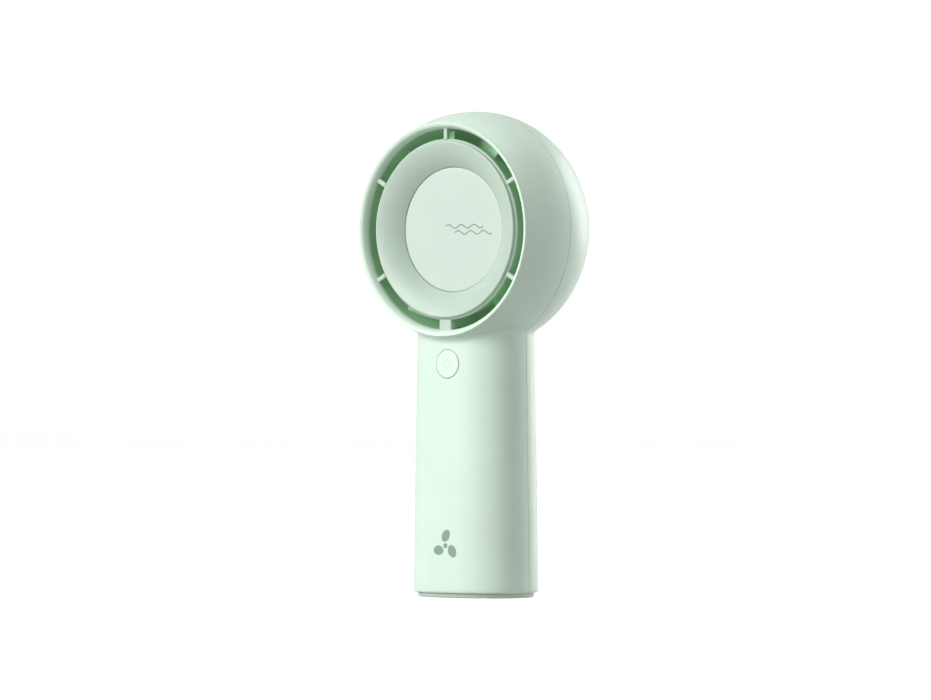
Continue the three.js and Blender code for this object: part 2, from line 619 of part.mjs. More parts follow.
// A pad between the cell and the side wall, hollowed to the cell's curve.
function batteryCradle(side) {
  const reach = CRADLE_X.map((x) => side * x);
  const slab = block(Math.min(...reach), Math.max(...reach), ...CRADLE_Y, ...CRADLE_Z);
  const [z0, z1] = CRADLE_Z;
  return slab.subtract(barZ(0, BATTERY_Y, BATTERY_R + GAP, z0 - 1, z1 + 1, CORE_SEGMENTS));
}

const TAB_HALF_WIDTH = 3;
const TAB_HALF_DEPTH = 2.5;
const TAB_THICKNESS = 0.3;
const batteryTab = (z0) =>
  block(-TAB_HALF_WIDTH, TAB_HALF_WIDTH, BATTERY_Y - TAB_HALF_DEPTH, BATTERY_Y + TAB_HALF_DEPTH,
    z0, z0 + TAB_THICKNESS);

function mainPcb() {
  const back = PCB_FRONT_Y + PCB_THICKNESS;
  const board = block(-PCB_HALF_WIDTH, PCB_HALF_WIDTH, PCB_FRONT_Y, back, ...PCB_Z);
  const holes = PCB_SCREWS.map(([x, z]) => barY(x, z, SCREW_HOLE_R, PCB_FRONT_Y - 1, back + 1));
  return cut(board, holes);
}

const chargePcb = () =>
  block(-CHARGE_PCB_HALF_WIDTH, CHARGE_PCB_HALF_WIDTH, ...CHARGE_PCB_Y, CHARGE_PCB_Z,
    CHARGE_PCB_Z + PCB_THICKNESS);
const chargeChip = () => {
  const z0 = CHARGE_PCB_Z + PCB_THICKNESS + GAP;
  return block(-2, 2, 0, 4, z0, z0 + CHIP_HEIGHT);
};

// ---- charging socket, button and switch ----
const CHIP_HEIGHT = 0.9;

const usbShell = () =>
  socketShape(USB_HALF_WIDTH, USB_HALF_HEIGHT, USB_BACK_Y, USB_MOUTH_Y).subtract(
    socketShape(USB_HALF_WIDTH - USB_SKIN, USB_HALF_HEIGHT - USB_SKIN, USB_BACK_Y + 1.3,
      USB_MOUTH_Y + 1)
  );

const usbTongue = () =>
  block(-TONGUE_HALF_WIDTH, TONGUE_HALF_WIDTH, USB_BACK_Y + 1.6, USB_MOUTH_Y - 0.8,
    USB_Z - TONGUE_HALF_HEIGHT, USB_Z + TONGUE_HALF_HEIGHT);

function powerButton() {
  const [flangeFront, flangeBack] = BUTTON_FLANGE_Y;
  const cap = turned(
    [[0, BUTTON_FACE_Y], [BUTTON_R - BUTTON_BEVEL, BUTTON_FACE_Y], [BUTTON_R, BUTTON_FACE_Y + BUTTON_BEVEL],
      [BUTTON_R, flangeFront], [BUTTON_FLANGE_R, flangeFront], [BUTTON_FLANGE_R, flangeBack],
      [0, flangeBack]]
  );
  return cap.translate([0, 0, BUTTON_Z - HEAD_Z]);
}

const SWITCH_FRONT_Y = -9.6;
const SWITCH_HALF = 3;
const PLUNGER_R = 1.6;
const switchPlunger = () =>
  barY(0, BUTTON_Z, PLUNGER_R, BUTTON_FLANGE_Y[1] + GAP, SWITCH_FRONT_Y - BUTTON_TRAVEL - 0.1, 12);
const switchBody = () =>
  block(-SWITCH_HALF, SWITCH_HALF, SWITCH_FRONT_Y, PCB_FRONT_Y - GAP,
    BUTTON_Z - SWITCH_HALF, BUTTON_Z + SWITCH_HALF);

const surfaceChip = (x, z, half) =>
  block(x - half, x + half, PCB_FRONT_Y - GAP - CHIP_HEIGHT, PCB_FRONT_Y - GAP, z - half, z + half);

// ---- screws ----
// A screw along Y whose head spans headY0..headY1 and whose shank runs on from headY1 to tipY.
function screwY(x, z, headY0, headY1, tipY) {
  const head = barY(x, z, SCREW_HEAD_R, Math.min(headY0, headY1), Math.max(headY0, headY1));
  const start = headY1 + OVERLAP * Math.sign(headY0 - headY1);
  return head.add(barY(x, z, SCREW_R, Math.min(start, tipY), Math.max(start, tipY)));
}

function footScrew(x, y) {
  const headTop = FOOT_SCREW_HEAD_Z + SCREW_HEAD;
  const head = barZ(x, y, SCREW_HEAD_R, FOOT_SCREW_HEAD_Z, headTop);
  return head.add(barZ(x, y, SCREW_R, headTop - OVERLAP, FOOT_BOSS_Z1 - BOSS_FLOOR - 0.5));
}

// ---- assembly ----
const fan = new THREE.Group();

function place(name, manifold, [color, roughness, metalness], group = fan) {
  const material = new THREE.MeshStandardMaterial({ color, roughness, metalness });
  const mesh = new THREE.Mesh(geometryOf(manifold), material);
  mesh.name = name;
  group.add(mesh);
}

place("front_shell", frontShell(), MINT);
place("rear_shell", rearShell(), MINT);
place("intake_grille", intakeGrille(), MINT);
place("base_foot", baseFoot(), FOOT_GREY);
place("front_grille", frontGrille(), MINT);
place("center_disc", centerDisc(), PALE_MINT);
place("air_duct", airDuct(), DEEP_MINT);
place("guide_vane_ring", guideVaneRing(), DEEP_MINT);

place("impeller", impeller(), DEEP_MINT);
place("rotor_cup", rotorCup(), DARK_STEEL);
place("magnet_ring", magnetRing(), MAGNET);
place("motor_shaft", motorShaft(), STEEL);
for (const [end, span] of Object.entries(BEARINGS)) {
  place(`${end}_bearing_inner_race`, innerRace(span), STEEL);
  place(`${end}_bearing_outer_race`, outerRace(span), STEEL);
}

place("motor_base", motorBase(), STEEL);
place("stator_core", statorCore(), DARK_STEEL);
for (let i = 0; i < POLE_COUNT; i++) place(`stator_coil_${i + 1}`, coil(i), COPPER);
place("motor_pcb", motorPcb(), BOARD);

place("battery_cell", batteryCell(), CELL_WRAP);
place("battery_cradle_left", batteryCradle(-1), WHITE_PLASTIC);
place("battery_cradle_right", batteryCradle(1), WHITE_PLASTIC);
place("battery_tab_top", batteryTab(BATTERY_Z + BATTERY_LENGTH + GAP), NICKEL);
place("battery_tab_bottom", batteryTab(BATTERY_Z - GAP - TAB_THICKNESS), NICKEL);
place("main_pcb", mainPcb(), BOARD);
place("charge_pcb", chargePcb(), BOARD);
place("driver_chip", surfaceChip(0, 56, 3), BLACK_PLASTIC);
place("charge_chip", chargeChip(), BLACK_PLASTIC);
place("status_led_left", surfaceChip(-6, BUTTON_Z, 0.8), LED_LENS);
place("status_led_right", surfaceChip(6, BUTTON_Z, 0.8), LED_LENS);

place("usb_socket_shell", usbShell(), STEEL);
place("usb_socket_tongue", usbTongue(), BLACK_PLASTIC);
place("power_button", powerButton(), PALE_MINT);
place("switch_plunger", switchPlunger(), BLACK_PLASTIC);
place("switch_body", switchBody(), STEEL);

const MOTOR_CABLE = [[0, -9.8, 76.3], [0, -9.3, 79], [0, -7.5, 82], [0, -6.8, 88], [0, -5.4, 94],
  [0, -4, 102]];
const CELL_PLUS_LEAD = [[0, 2, 79], [3, -2, 79.6], [6, -6, 80], [6, -9, 79.4], [6, -9.4, 76.5]];
const CELL_MINUS_LEAD = [[0, 0, 10.8], [3, -6.6, 10.9], [6, -9.8, 14.5], [6, -9.6, 26],
  [6, -9.4, 37]];
const CHARGE_LEAD = [[-5, 1, 7.2], [-5.6, -4, 8.2], [-6, -9, 14], [-6, -9.4, 26], [-6, -9.4, 37]];
const CABLE_R = 0.8;
const LEAD_R = 0.6;
const WIRE_STEPS = 10;
place("motor_cable", wire(MOTOR_CABLE, CABLE_R, WIRE_STEPS), BLACK_WIRE);
place("battery_lead_plus", wire(CELL_PLUS_LEAD, LEAD_R, WIRE_STEPS), RED_WIRE);
place("battery_lead_minus", wire(CELL_MINUS_LEAD, LEAD_R, WIRE_STEPS), BLACK_WIRE);
place("charge_lead", wire(CHARGE_LEAD, LEAD_R, WIRE_STEPS), RED_WIRE);

DUCT_SCREW_ANGLES.forEach((angle, i) => {
  place(`duct_screw_${i + 1}`, screwY(...onHead(DUCT_SCREW_R, angle), 1.7, 0.7, -4.3), STEEL);
});
MOTOR_SCREW_ANGLES.forEach((angle, i) => {
  place(`motor_screw_${i + 1}`, screwY(...onHead(MOTOR_SCREW_R, angle), -0.9, 0, 2.9), STEEL);
});
PCB_SCREWS.forEach(([x, z], i) => {
  place(`pcb_screw_${i + 1}`, screwY(x, z, -5.6, -6.6, -10.8), STEEL);
});
FOOT_SCREWS.forEach(([x, y], i) => {
  place(`foot_screw_${i + 1}`, footScrew(x, y), STEEL);
});

export default fan;
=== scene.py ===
"""Looks of a handheld electric fan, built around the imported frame.

Shapes are worked out in millimetres and written to Blender in metres. The fan stands on Z = 0 and
blows towards -Y. Its head is turned about a line parallel to Y.
"""
import json
import math

import bmesh
import bpy
import numpy as np
from mathutils import Matrix, Vector


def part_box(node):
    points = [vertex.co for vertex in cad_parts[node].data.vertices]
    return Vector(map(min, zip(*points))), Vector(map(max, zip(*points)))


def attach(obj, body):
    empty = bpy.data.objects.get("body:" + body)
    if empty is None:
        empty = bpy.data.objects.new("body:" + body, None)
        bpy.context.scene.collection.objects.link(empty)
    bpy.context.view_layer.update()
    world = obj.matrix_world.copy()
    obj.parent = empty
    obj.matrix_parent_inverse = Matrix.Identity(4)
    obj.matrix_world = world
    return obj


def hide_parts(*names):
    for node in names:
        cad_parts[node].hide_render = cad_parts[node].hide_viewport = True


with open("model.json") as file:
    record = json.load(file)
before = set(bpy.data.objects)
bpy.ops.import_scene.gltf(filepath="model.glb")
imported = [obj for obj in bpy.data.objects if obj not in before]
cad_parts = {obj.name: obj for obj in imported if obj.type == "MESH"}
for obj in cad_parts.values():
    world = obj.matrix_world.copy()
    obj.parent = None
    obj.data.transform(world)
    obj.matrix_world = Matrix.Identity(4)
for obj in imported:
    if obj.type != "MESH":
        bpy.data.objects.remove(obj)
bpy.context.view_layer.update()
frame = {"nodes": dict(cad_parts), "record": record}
METRES = 0.001


def box_mm(node):
    low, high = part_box(node)
    return np.array(low) / METRES, np.array(high) / METRES


# ---- sizes from the frame, in millimetres ----
FRONT_LOW, FRONT_HIGH = box_mm("front_shell")
REAR_LOW, _ = box_mm("rear_shell")
_, GRILLE_HIGH = box_mm("intake_grille")
DISC_LOW, DISC_HIGH = box_mm("center_disc")
BUTTON_LOW, BUTTON_HIGH = box_mm("power_button")
USB_LOW, USB_HIGH = box_mm("usb_socket_shell")

HEAD_R = FRONT_HIGH[0]
HEAD_Z = FRONT_HIGH[2] - HEAD_R
FRONT_Y = FRONT_LOW[1]
SEAM_Y = (FRONT_HIGH[1] + REAR_LOW[1]) / 2
DOME_DEPTH = GRILLE_HIGH[1] - SEAM_Y
SHELL_BASE_Z = FRONT_LOW[2]
GRILLE_R = GRILLE_HIGH[0]
DISC_R = DISC_HIGH[0] + 0.15  # the disc's seat
DISC_Y = DISC_LOW[1]
BUTTON_Z = (BUTTON_LOW[2] + BUTTON_HIGH[2]) / 2
USB_Z = (USB_LOW[2] + USB_HIGH[2]) / 2
USB_HALF_WIDTH = USB_HIGH[0]
USB_HALF_HEIGHT = (USB_HIGH[2] - USB_LOW[2]) / 2

# ---- sizes of the form that the frame's boxes don't give, in millimetres ----
# outer form
BARREL_AXIS = 39.0
WALL = 1.8
SEAM_GAP = 0.16
HANDLE_HALF_WIDTH = 20.54
HANDLE_HALF_DEPTH = 15.31
HANDLE_TAPER = 0.0168
HANDLE_POWER = 2.3
HANDLE_TOP_Z = 92.0
HANDLE_EDGE = ((0, 0.5), (0.15, 0.22), (0.4, 0.06), (0.8, 0))  # height and inset at the base
NECK_BLEND = 1.1
ON_FORM = 0.02  # how far a point may lie from the outer form and still count as on it
FORM_BASE_Z = SHELL_BASE_Z + 1  # the handle's rounded base ends below this
FAR = 80.0  # beyond the fan on every side

# lip of the outlet
LIP_INNER_R = 31.44
LIP_OUTER_R = 32.9
LIP_BACK_Y = FRONT_Y + 3
LIP_EDGE = 0.12
LIP_BARREL_Y = FRONT_Y + 0.6
FORM_FRONT_Y = LIP_BACK_Y - 1.2  # the lip's own shape ends in front of this
CAVITY_GAP = 0.4
CAVITY_REACH = 6.0  # in front of the lip's back
CAVITY_REAR_R = GRILLE_R - 4
LIP_RIM_R = 31.75
LIP_RIM_SLOPE = (9, 40)  # degrees from flat, from the lip's outer edge inwards
LIP_MOUTH_R = 30.95
LIP_FUNNEL_SLOPE = (56, 72)

# dish, ribs and disc
DISH_R = 27.2
DISH_RIM_Y = -15.86
DISH_SLOPE = (14, 47.3)  # degrees from flat, at the rim and at the disc
DISH_SKIN = 1.3
DISH_EDGE = 0.4
SKIRT_Y = -13.9
COLLAR_R = 27.85  # the low collar behind the dish's rim, from which the ribs start
COLLAR_Y = -14.75
COLLAR_EDGE = 0.2
RIB_COUNT = 6
RIB_FRONT_Y = -15.15
RIB_TIP_R = LIP_MOUTH_R + 0.4
RIB_WIDTH = 1.45
RIB_EDGE = 0.35
WIDE_RIB_WIDTH = 4.7
DISC_GAP = 0.1
DISC_EDGE = 0.25
DISC_THICKNESS = 1.2
DISC_SEAT_GAP = 0.05

# intake
INTAKE_GAP = 0.12
INTAKE_CHAMFER = (0.15, 0.12)
INTAKE_SKIN = 1.6
INTAKE_SKIRT = 3.0
INTAKE_SKIRT_WALL = 1.4
INTAKE_EDGE = (0.2, 0.15)
INTAKE_SLOTS = ((6.5, 12.5, 12), (14.5, 22.0, 24))  # inner and outer radius, count
INTAKE_SLOT_SHARE = 0.52  # of each slot's pitch

# air path: walls as [y, radius] of their outlines
DUCT_INNER = (
    (-13.8, 30.9), (-12.2, 30.85), (-9, 30.5), (-5, 29.6), (-1, 28.2), (3, 27.1), (5.5, 26.6),
    (16.8, 26.6),
)
DUCT_WALL = 1.2
DUCT_EDGE_WALL = 0.5
DUCT_EDGE_Y = LIP_BACK_Y + 1.6
POD_OUTER = ((-13.75, 26.95), (-9, 26.7), (-4.5, 25.2), (0, 22.6), (3.2, 20.2))
HUB_OUTER = ((4.2, 19.3), (8, 18.4), (12, 16.5), (14.6, 14), (16.2, 10), (16.9, 5), (17.0, 0))
CABLE_SLOT_HALF = 1.7
CABLE_SLOT_Y = (-9, -4.6)
CABLE_SLOT_R = (20, 33.5)
BLADE_ROOT = 0.7  # how deep a blade's or vane's foot sits in its hub
VANE_COUNT = 9
VANE_Y = (-11.0, 2)
VANE_LEAN = math.radians(40)
VANE_TIP_GAP = 0.3
VANE_THICKNESS = (0.5, 0.7)  # at the ends, and what the middle has more
STRUT_Y = (-10, -3.6)
STRUT_WIDTH = 5.0
BLADE_COUNT = 9
BLADE_Y = (4.6, 14.6)
BLADE_SWEEP = math.radians(46)
BLADE_CURL = math.radians(8)
BLADE_THICKNESS = (0.35, 0.9)

# button and socket
BUTTON_R = 4.4
BUTTON_GAP = 0.14
BUTTON_HOLE_CHAMFER = 0.07
BUTTON_PROUD = 0.2
BUTTON_EDGE = 0.4
BUTTON_FLANGE = 0.6
BUTTON_CABLE_ROOM = 0.2  # keeps the pressed cap off the motor cable
SOCKET_WALL = 0.3
SOCKET_BACK = 0.8
SOCKET_GAP = 0.2
SOCKET_HOLE_FLARE = ((-5, 0), (-0.9, 0), (-0.1, 0.35), (3, 1.7))  # y from the surface, and growth

# foot and its screws
FOOT_HEIGHT = 1.42
FOOT_COLLAR_TOP = 3.6  # inside the shells
FOOT_EDGE = (  # height and inset of the rounded edge
    (0, 2.0), (0.1, 1.75), (0.25, 1.58), (0.5, 1.45), (0.8, 1.4), (FOOT_HEIGHT, 1.4),
    (FOOT_HEIGHT, 2.1), (FOOT_COLLAR_TOP, 2.1),
)
SCREW_COUNT = 4
SCREW_RECESS_R = 1.55
SCREW_RECESS_Z = 1.35
SCREW_HOLE_R = 0.85
SCREW_HEAD = 0.9
SCREW_CROWN = 0.3
SCREW_R = 0.6
SCREW_THREAD = 0.14  # depth of the thread
SCREW_PITCH = 0.5
SCREW_POINT = 1.2
SCREW_POINT_R = 0.15
SCREW_CROSS = (0.75, 0.2, 0.55)  # half length, half width and depth

# printed signs
INK_HEIGHT = 0.03
INK_SINK = 0.01
WAVE_ROWS = ((-3.2, 11.8, 0.95), (0.6, 15.2, -0.95))  # start, end and height about the centre
WAVE_LENGTH = 5.0
WAVE_HEIGHT = 0.55
WAVE_STROKE = 0.42
POWER_SIGN_R = 1.25
POWER_SIGN_ARC = (125, 415)  # degrees
POWER_SIGN_STEM = (0.35, 1.7)
POWER_SIGN_STROKE = 0.22
FAN_SIGN_Z = 16.1
FAN_SIGN_R = 4.7
FAN_SIGN_HUB = 0.8
PETAL_COUNT = 3
PETAL_START = 105  # degrees
PETAL_SWEEP = math.radians(34)
PETAL_GAP = 0.5
PETAL_WIDTH = 3.0

# ---- camera and lights, in metres, degrees and watts ----
CAMERA_TURN = math.radians(38.65)
CAMERA_DISTANCE = 2.0
CAMERA_LENS = 250.0
CAMERA_SHIFT = (-0.01117, 0.00451)
AIM_Z = 0.075
STUDIO_MIDDLE = Vector((0, 0, 0.085))
SOFTBOX_DISTANCE = 1.2
SOFTBOX_SIZE = (0.7, 0.8)
BROAD_SIZE = (0.8, 0.8)
SOFTBOXES = {  # turn, rise, size, power
    "key": (-62, 24, SOFTBOX_SIZE, 14.8),
    "rim": (130, 15, SOFTBOX_SIZE, 8.6),
    "side": (78, 8, BROAD_SIZE, 2.0),
    "top": (10, 88, BROAD_SIZE, 3.6),
}
FILL = (0.46, 0.28)  # from straight below and from straight above
BACKGROUND = 1.05
FLOOR_HALF = 3.0
FLOOR_GAP = 0.00003
FLOOR_GLOW = 0.88

# ---- mesh helpers ----
SHARP = math.radians(38)  # a wider turn between two faces shows as an edge


def new_object(name, mesh):
    piece = bpy.data.objects.new(name, mesh)
    bpy.context.scene.collection.objects.link(piece)
    return piece


def mesh_piece(name, points, faces):
    """A mesh object, still in millimetres, with its faces pointing out."""
    mesh = bpy.data.meshes.new(name)
    mesh.from_pydata([tuple(p) for p in points], [], faces)
    work = bmesh.new()
    work.from_mesh(mesh)
    bmesh.ops.remove_doubles(work, verts=work.verts, dist=1e-5)
    bmesh.ops.recalc_face_normals(work, faces=work.faces)
    if work.calc_volume(signed=True) < 0:
        bmesh.ops.reverse_faces(work, faces=work.faces)
    work.to_mesh(mesh)
    work.free()
    return new_object(name, mesh)


def loft(name, rings):
    """Closed solid through rings of points, with a flat cap on each end."""
    count = len(rings[0])
    points = [p for ring in rings for p in ring]
    faces = [tuple(range(count)), tuple(range(len(points) - count, len(points)))]
    for level in range(len(rings) - 1):
        for i in range(count):
            j = (i + 1) % count
            a, b = level * count, (level + 1) * count
            faces.append((a + i, a + j, b + j, b + i))
    return mesh_piece(name, points, faces)


def turned(name, profile, angles=None, segments=160, centre_z=None):
    """Solid of revolution of [radius, y] points about the head's axis."""
    centre_z = HEAD_Z if centre_z is None else centre_z
    if angles is None:
        angles = np.linspace(0, 2 * math.pi, segments, endpoint=False)
    count = len(angles)
    on_axis = profile[0][0] == 0 and profile[-1][0] == 0
    rows = len(profile)
    points = []
    for r, y in profile:
        for a in angles:
            points.append((r * math.cos(a), y, centre_z + r * math.sin(a)))
    faces = []
    for row in range(rows if not on_axis else rows - 1):
        a, b = row * count, ((row + 1) % rows) * count
        for i in range(count):
            j = (i + 1) % count
            faces.append((a + i, a + j, b + j, b + i))
    return mesh_piece(name, points, faces)


def bar(name, start, end, radius, segments=48):
    """Round bar between two points."""
    start, end = Vector(start), Vector(end)
    turn = (end - start).to_track_quat("Z", "Y").to_matrix()
    rings = []
    for centre in (start, end):
        ring = []
        for a in np.linspace(0, 2 * math.pi, segments, endpoint=False):
            ring.append(centre + turn @ Vector((radius * math.cos(a), radius * math.sin(a), 0)))
        rings.append(ring)
    return loft(name, rings)


def block(name, low, high):
    (x0, y0, z0), (x1, y1, z1) = low, high
    lower = [(x0, y0, z0), (x1, y0, z0), (x1, y1, z0), (x0, y1, z0)]
    upper = [(x, y, z1) for x, y, _ in lower]
    return loft(name, [lower, upper])


def boolean(piece, operation, tools):
    """Joins or cuts in place, and removes the tools."""
    for tool in tools:
        step = piece.modifiers.new("step", "BOOLEAN")
        step.operation = operation
        step.solver = "MANIFOLD"
        step.object = tool
    apply_modifiers(piece)
    for tool in tools:
        bpy.data.objects.remove(tool, do_unlink=True)


def apply_modifiers(piece):
    graph = bpy.context.evaluated_depsgraph_get()
    graph.update()
    done = bpy.data.meshes.new_from_object(piece.evaluated_get(graph))
    old = piece.data
    piece.modifiers.clear()
    piece.data = done
    bpy.data.meshes.remove(old)


def join(name, parts):
    """Separate closed bodies as one mesh."""
    whole = bmesh.new()
    for part in parts:
        whole.from_mesh(part.data)
    mesh = bpy.data.meshes.new(name)
    whole.to_mesh(mesh)
    whole.free()
    for part in parts:
        bpy.data.objects.remove(part, do_unlink=True)
    return new_object(name, mesh)


def finish_piece(piece, material, body, stands_for=()):
    """Millimetres to metres, smooth shading with sharp edges kept, material and body, and hides the
    frame nodes it stands for.
    """
    mesh = piece.data
    mesh.transform(Matrix.Scale(METRES, 4))
    work = bmesh.new()
    work.from_mesh(mesh)
    for edge in work.edges:
        edge.smooth = len(edge.link_faces) == 2 and edge.calc_face_angle(math.pi) < SHARP
    for face in work.faces:
        face.smooth = True
    work.to_mesh(mesh)
    work.free()
    mesh.materials.clear()
    mesh.materials.append(material)
    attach(piece, body)
    if stands_for:
        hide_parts(*stands_for)


# ---- materials ----
def tree_of(name):
    material = bpy.data.materials.new(name)
    material.use_nodes = True
    nodes = material.node_tree.nodes
    return material, nodes, material.node_tree.links, nodes["Principled BSDF"]


def noise(nodes, links, size_mm, detail=3.0, rough=0.5):
    """Noise whose features are about size_mm across, fixed to the object."""
    place = nodes.new("ShaderNodeTexCoord")
    texture = nodes.new("ShaderNodeTexNoise")
    texture.inputs["Scale"].default_value = 1 / (size_mm * METRES)
    texture.inputs["Detail"].default_value = detail
    texture.inputs["Roughness"].default_value = rough
    links.new(place.outputs["Object"], texture.inputs["Vector"])
    return texture.outputs["Fac"]


def spread_to(nodes, links, value, low, high, start=0.3, end=0.7):
    """Maps a noise value from start..end to low..high."""
    step = nodes.new("ShaderNodeMapRange")
    step.inputs["From Min"].default_value = start
    step.inputs["From Max"].default_value = end
    step.inputs["To Min"].default_value = low
    step.inputs["To Max"].default_value = high
    links.new(value, step.inputs["Value"])
    return step.outputs["Result"]


def shades(nodes, links, value, dark, light):
    ramp = nodes.new("ShaderNodeValToRGB")
    ramp.color_ramp.elements[0].position = 0.3
    ramp.color_ramp.elements[1].position = 0.7
    ramp.color_ramp.elements[0].color = (*dark, 1)
    ramp.color_ramp.elements[1].color = (*light, 1)
    links.new(value, ramp.inputs["Fac"])
    return ramp.outputs["Color"]


def linear(red, green, blue):
    """An sRGB colour of 0..255 as linear light."""
    values = []
    for channel in (red, green, blue):
        c = channel / 255
        values.append(c / 12.92 if c <= 0.04045 else ((c + 0.055) / 1.055) ** 2.4)
    return tuple(values)


def varied(color, amount):
    """A darker and a lighter shade of a colour."""
    dark = tuple(max(0.0, c * (1 - amount)) for c in color)
    light = tuple(min(1.0, c * (1 + amount)) for c in color)
    return dark, light


def moulded(name, color, roughness, grain_mm=0.22, grain_depth_mm=0.004, glow=0.0, inner_light=0.0):
    """Moulded plastic: a fine spark-eroded grain, cloudy pigment and lightly polished edges.

    inner_light stands for the daylight that comes through a thin wall.
    """
    material, nodes, links, shader = tree_of(name)
    dark, light = varied(color, 0.02)
    cloud = noise(nodes, links, 14, 4)
    tint = shades(nodes, links, cloud, dark, light)
    edge = nodes.new("ShaderNodeNewGeometry")
    worn = spread_to(nodes, links, edge.outputs["Pointiness"], 0, 0.35, 0.53, 0.6)
    mix = nodes.new("ShaderNodeMix")
    mix.data_type = "RGBA"
    mix.inputs["B"].default_value = (*varied(color, 0.06)[1], 1)
    links.new(worn, mix.inputs["Factor"])
    links.new(tint, mix.inputs["A"])
    links.new(mix.outputs["Result"], shader.inputs["Base Color"])
    smudge = noise(nodes, links, 9, 5, 0.6)
    links.new(
        spread_to(nodes, links, smudge, roughness - 0.05, roughness + 0.06),
        shader.inputs["Roughness"],
    )
    bump = nodes.new("ShaderNodeBump")
    bump.inputs["Strength"].default_value = 0.6
    bump.inputs["Distance"].default_value = grain_depth_mm * METRES
    links.new(noise(nodes, links, grain_mm, 2), bump.inputs["Height"])
    links.new(bump.outputs["Normal"], shader.inputs["Normal"])
    shader.inputs["IOR"].default_value = 1.49
    if glow:
        shader.inputs["Subsurface Weight"].default_value = glow
        shader.inputs["Subsurface Radius"].default_value = (0.7, 1.0, 0.7)
        shader.inputs["Subsurface Scale"].default_value = 1.2 * METRES
    # painted glow: an emission standing in for daylight coming through a thin wall; the part is no lamp
    if inner_light:
        links.new(tint, shader.inputs["Emission Color"])
        shader.inputs["Emission Strength"].default_value = inner_light
    return material


def metal(name, color, roughness, grain_mm=0.4, brushed=True):
    """Turned or stamped metal with fine tool marks and a little staining."""
    material, nodes, links, shader = tree_of(name)
    dark, light = varied(color, 0.12)
    links.new(shades(nodes, links, noise(nodes, links, 3, 4), dark, light), shader.inputs["Base Color"])
    shader.inputs["Metallic"].default_value = 1.0
    links.new(
        spread_to(nodes, links, noise(nodes, links, grain_mm, 4), roughness - 0.08, roughness + 0.12),
        shader.inputs["Roughness"],
    )
    bump = nodes.new("ShaderNodeBump")
    bump.inputs["Strength"].default_value = 0.4
    bump.inputs["Distance"].default_value = 0.006 * METRES
    links.new(noise(nodes, links, grain_mm if brushed else 2 * grain_mm, 2), bump.inputs["Height"])
    links.new(bump.outputs["Normal"], shader.inputs["Normal"])
    return material


def windings(name, color, wire_mm):
    """Enamelled copper wire wound in rows."""
    material, nodes, links, shader = tree_of(name)
    place = nodes.new("ShaderNodeTexCoord")
    rows = nodes.new("ShaderNodeTexWave")
    rows.bands_direction = "Y"
    rows.inputs["Scale"].default_value = 0.3 / (wire_mm * METRES)
    rows.inputs["Distortion"].default_value = 1.5
    links.new(place.outputs["Object"], rows.inputs["Vector"])
    dark, light = varied(color, 0.3)
    links.new(shades(nodes, links, rows.outputs["Fac"], dark, light), shader.inputs["Base Color"])
    shader.inputs["Metallic"].default_value = 0.8
    shader.inputs["Roughness"].default_value = 0.32
    bump = nodes.new("ShaderNodeBump")
    bump.inputs["Distance"].default_value = 0.1 * METRES
    links.new(rows.outputs["Fac"], bump.inputs["Height"])
    links.new(bump.outputs["Normal"], shader.inputs["Normal"])
    return material


def circuit_board(name, mask, trace):
    """Solder mask over copper tracks."""
    material, nodes, links, shader = tree_of(name)
    place = nodes.new("ShaderNodeTexCoord")
    cells = nodes.new("ShaderNodeTexBrick")
    cells.inputs["Color1"].default_value = (*mask, 1)
    cells.inputs["Color2"].default_value = (*varied(mask, 0.15)[0], 1)
    cells.inputs["Mortar"].default_value = (*trace, 1)
    cells.inputs["Scale"].default_value = 1 / (4 * METRES)
    cells.inputs["Mortar Size"].default_value = 0.03
    links.new(place.outputs["Object"], cells.inputs["Vector"])
    links.new(cells.outputs["Color"], shader.inputs["Base Color"])
    links.new(
        spread_to(nodes, links, noise(nodes, links, 2, 3), 0.25, 0.4), shader.inputs["Roughness"]
    )
    bump = nodes.new("ShaderNodeBump")
    bump.inputs["Distance"].default_value = 0.03 * METRES
    links.new(cells.outputs["Fac"], bump.inputs["Height"])
    links.new(bump.outputs["Normal"], shader.inputs["Normal"])
    return material


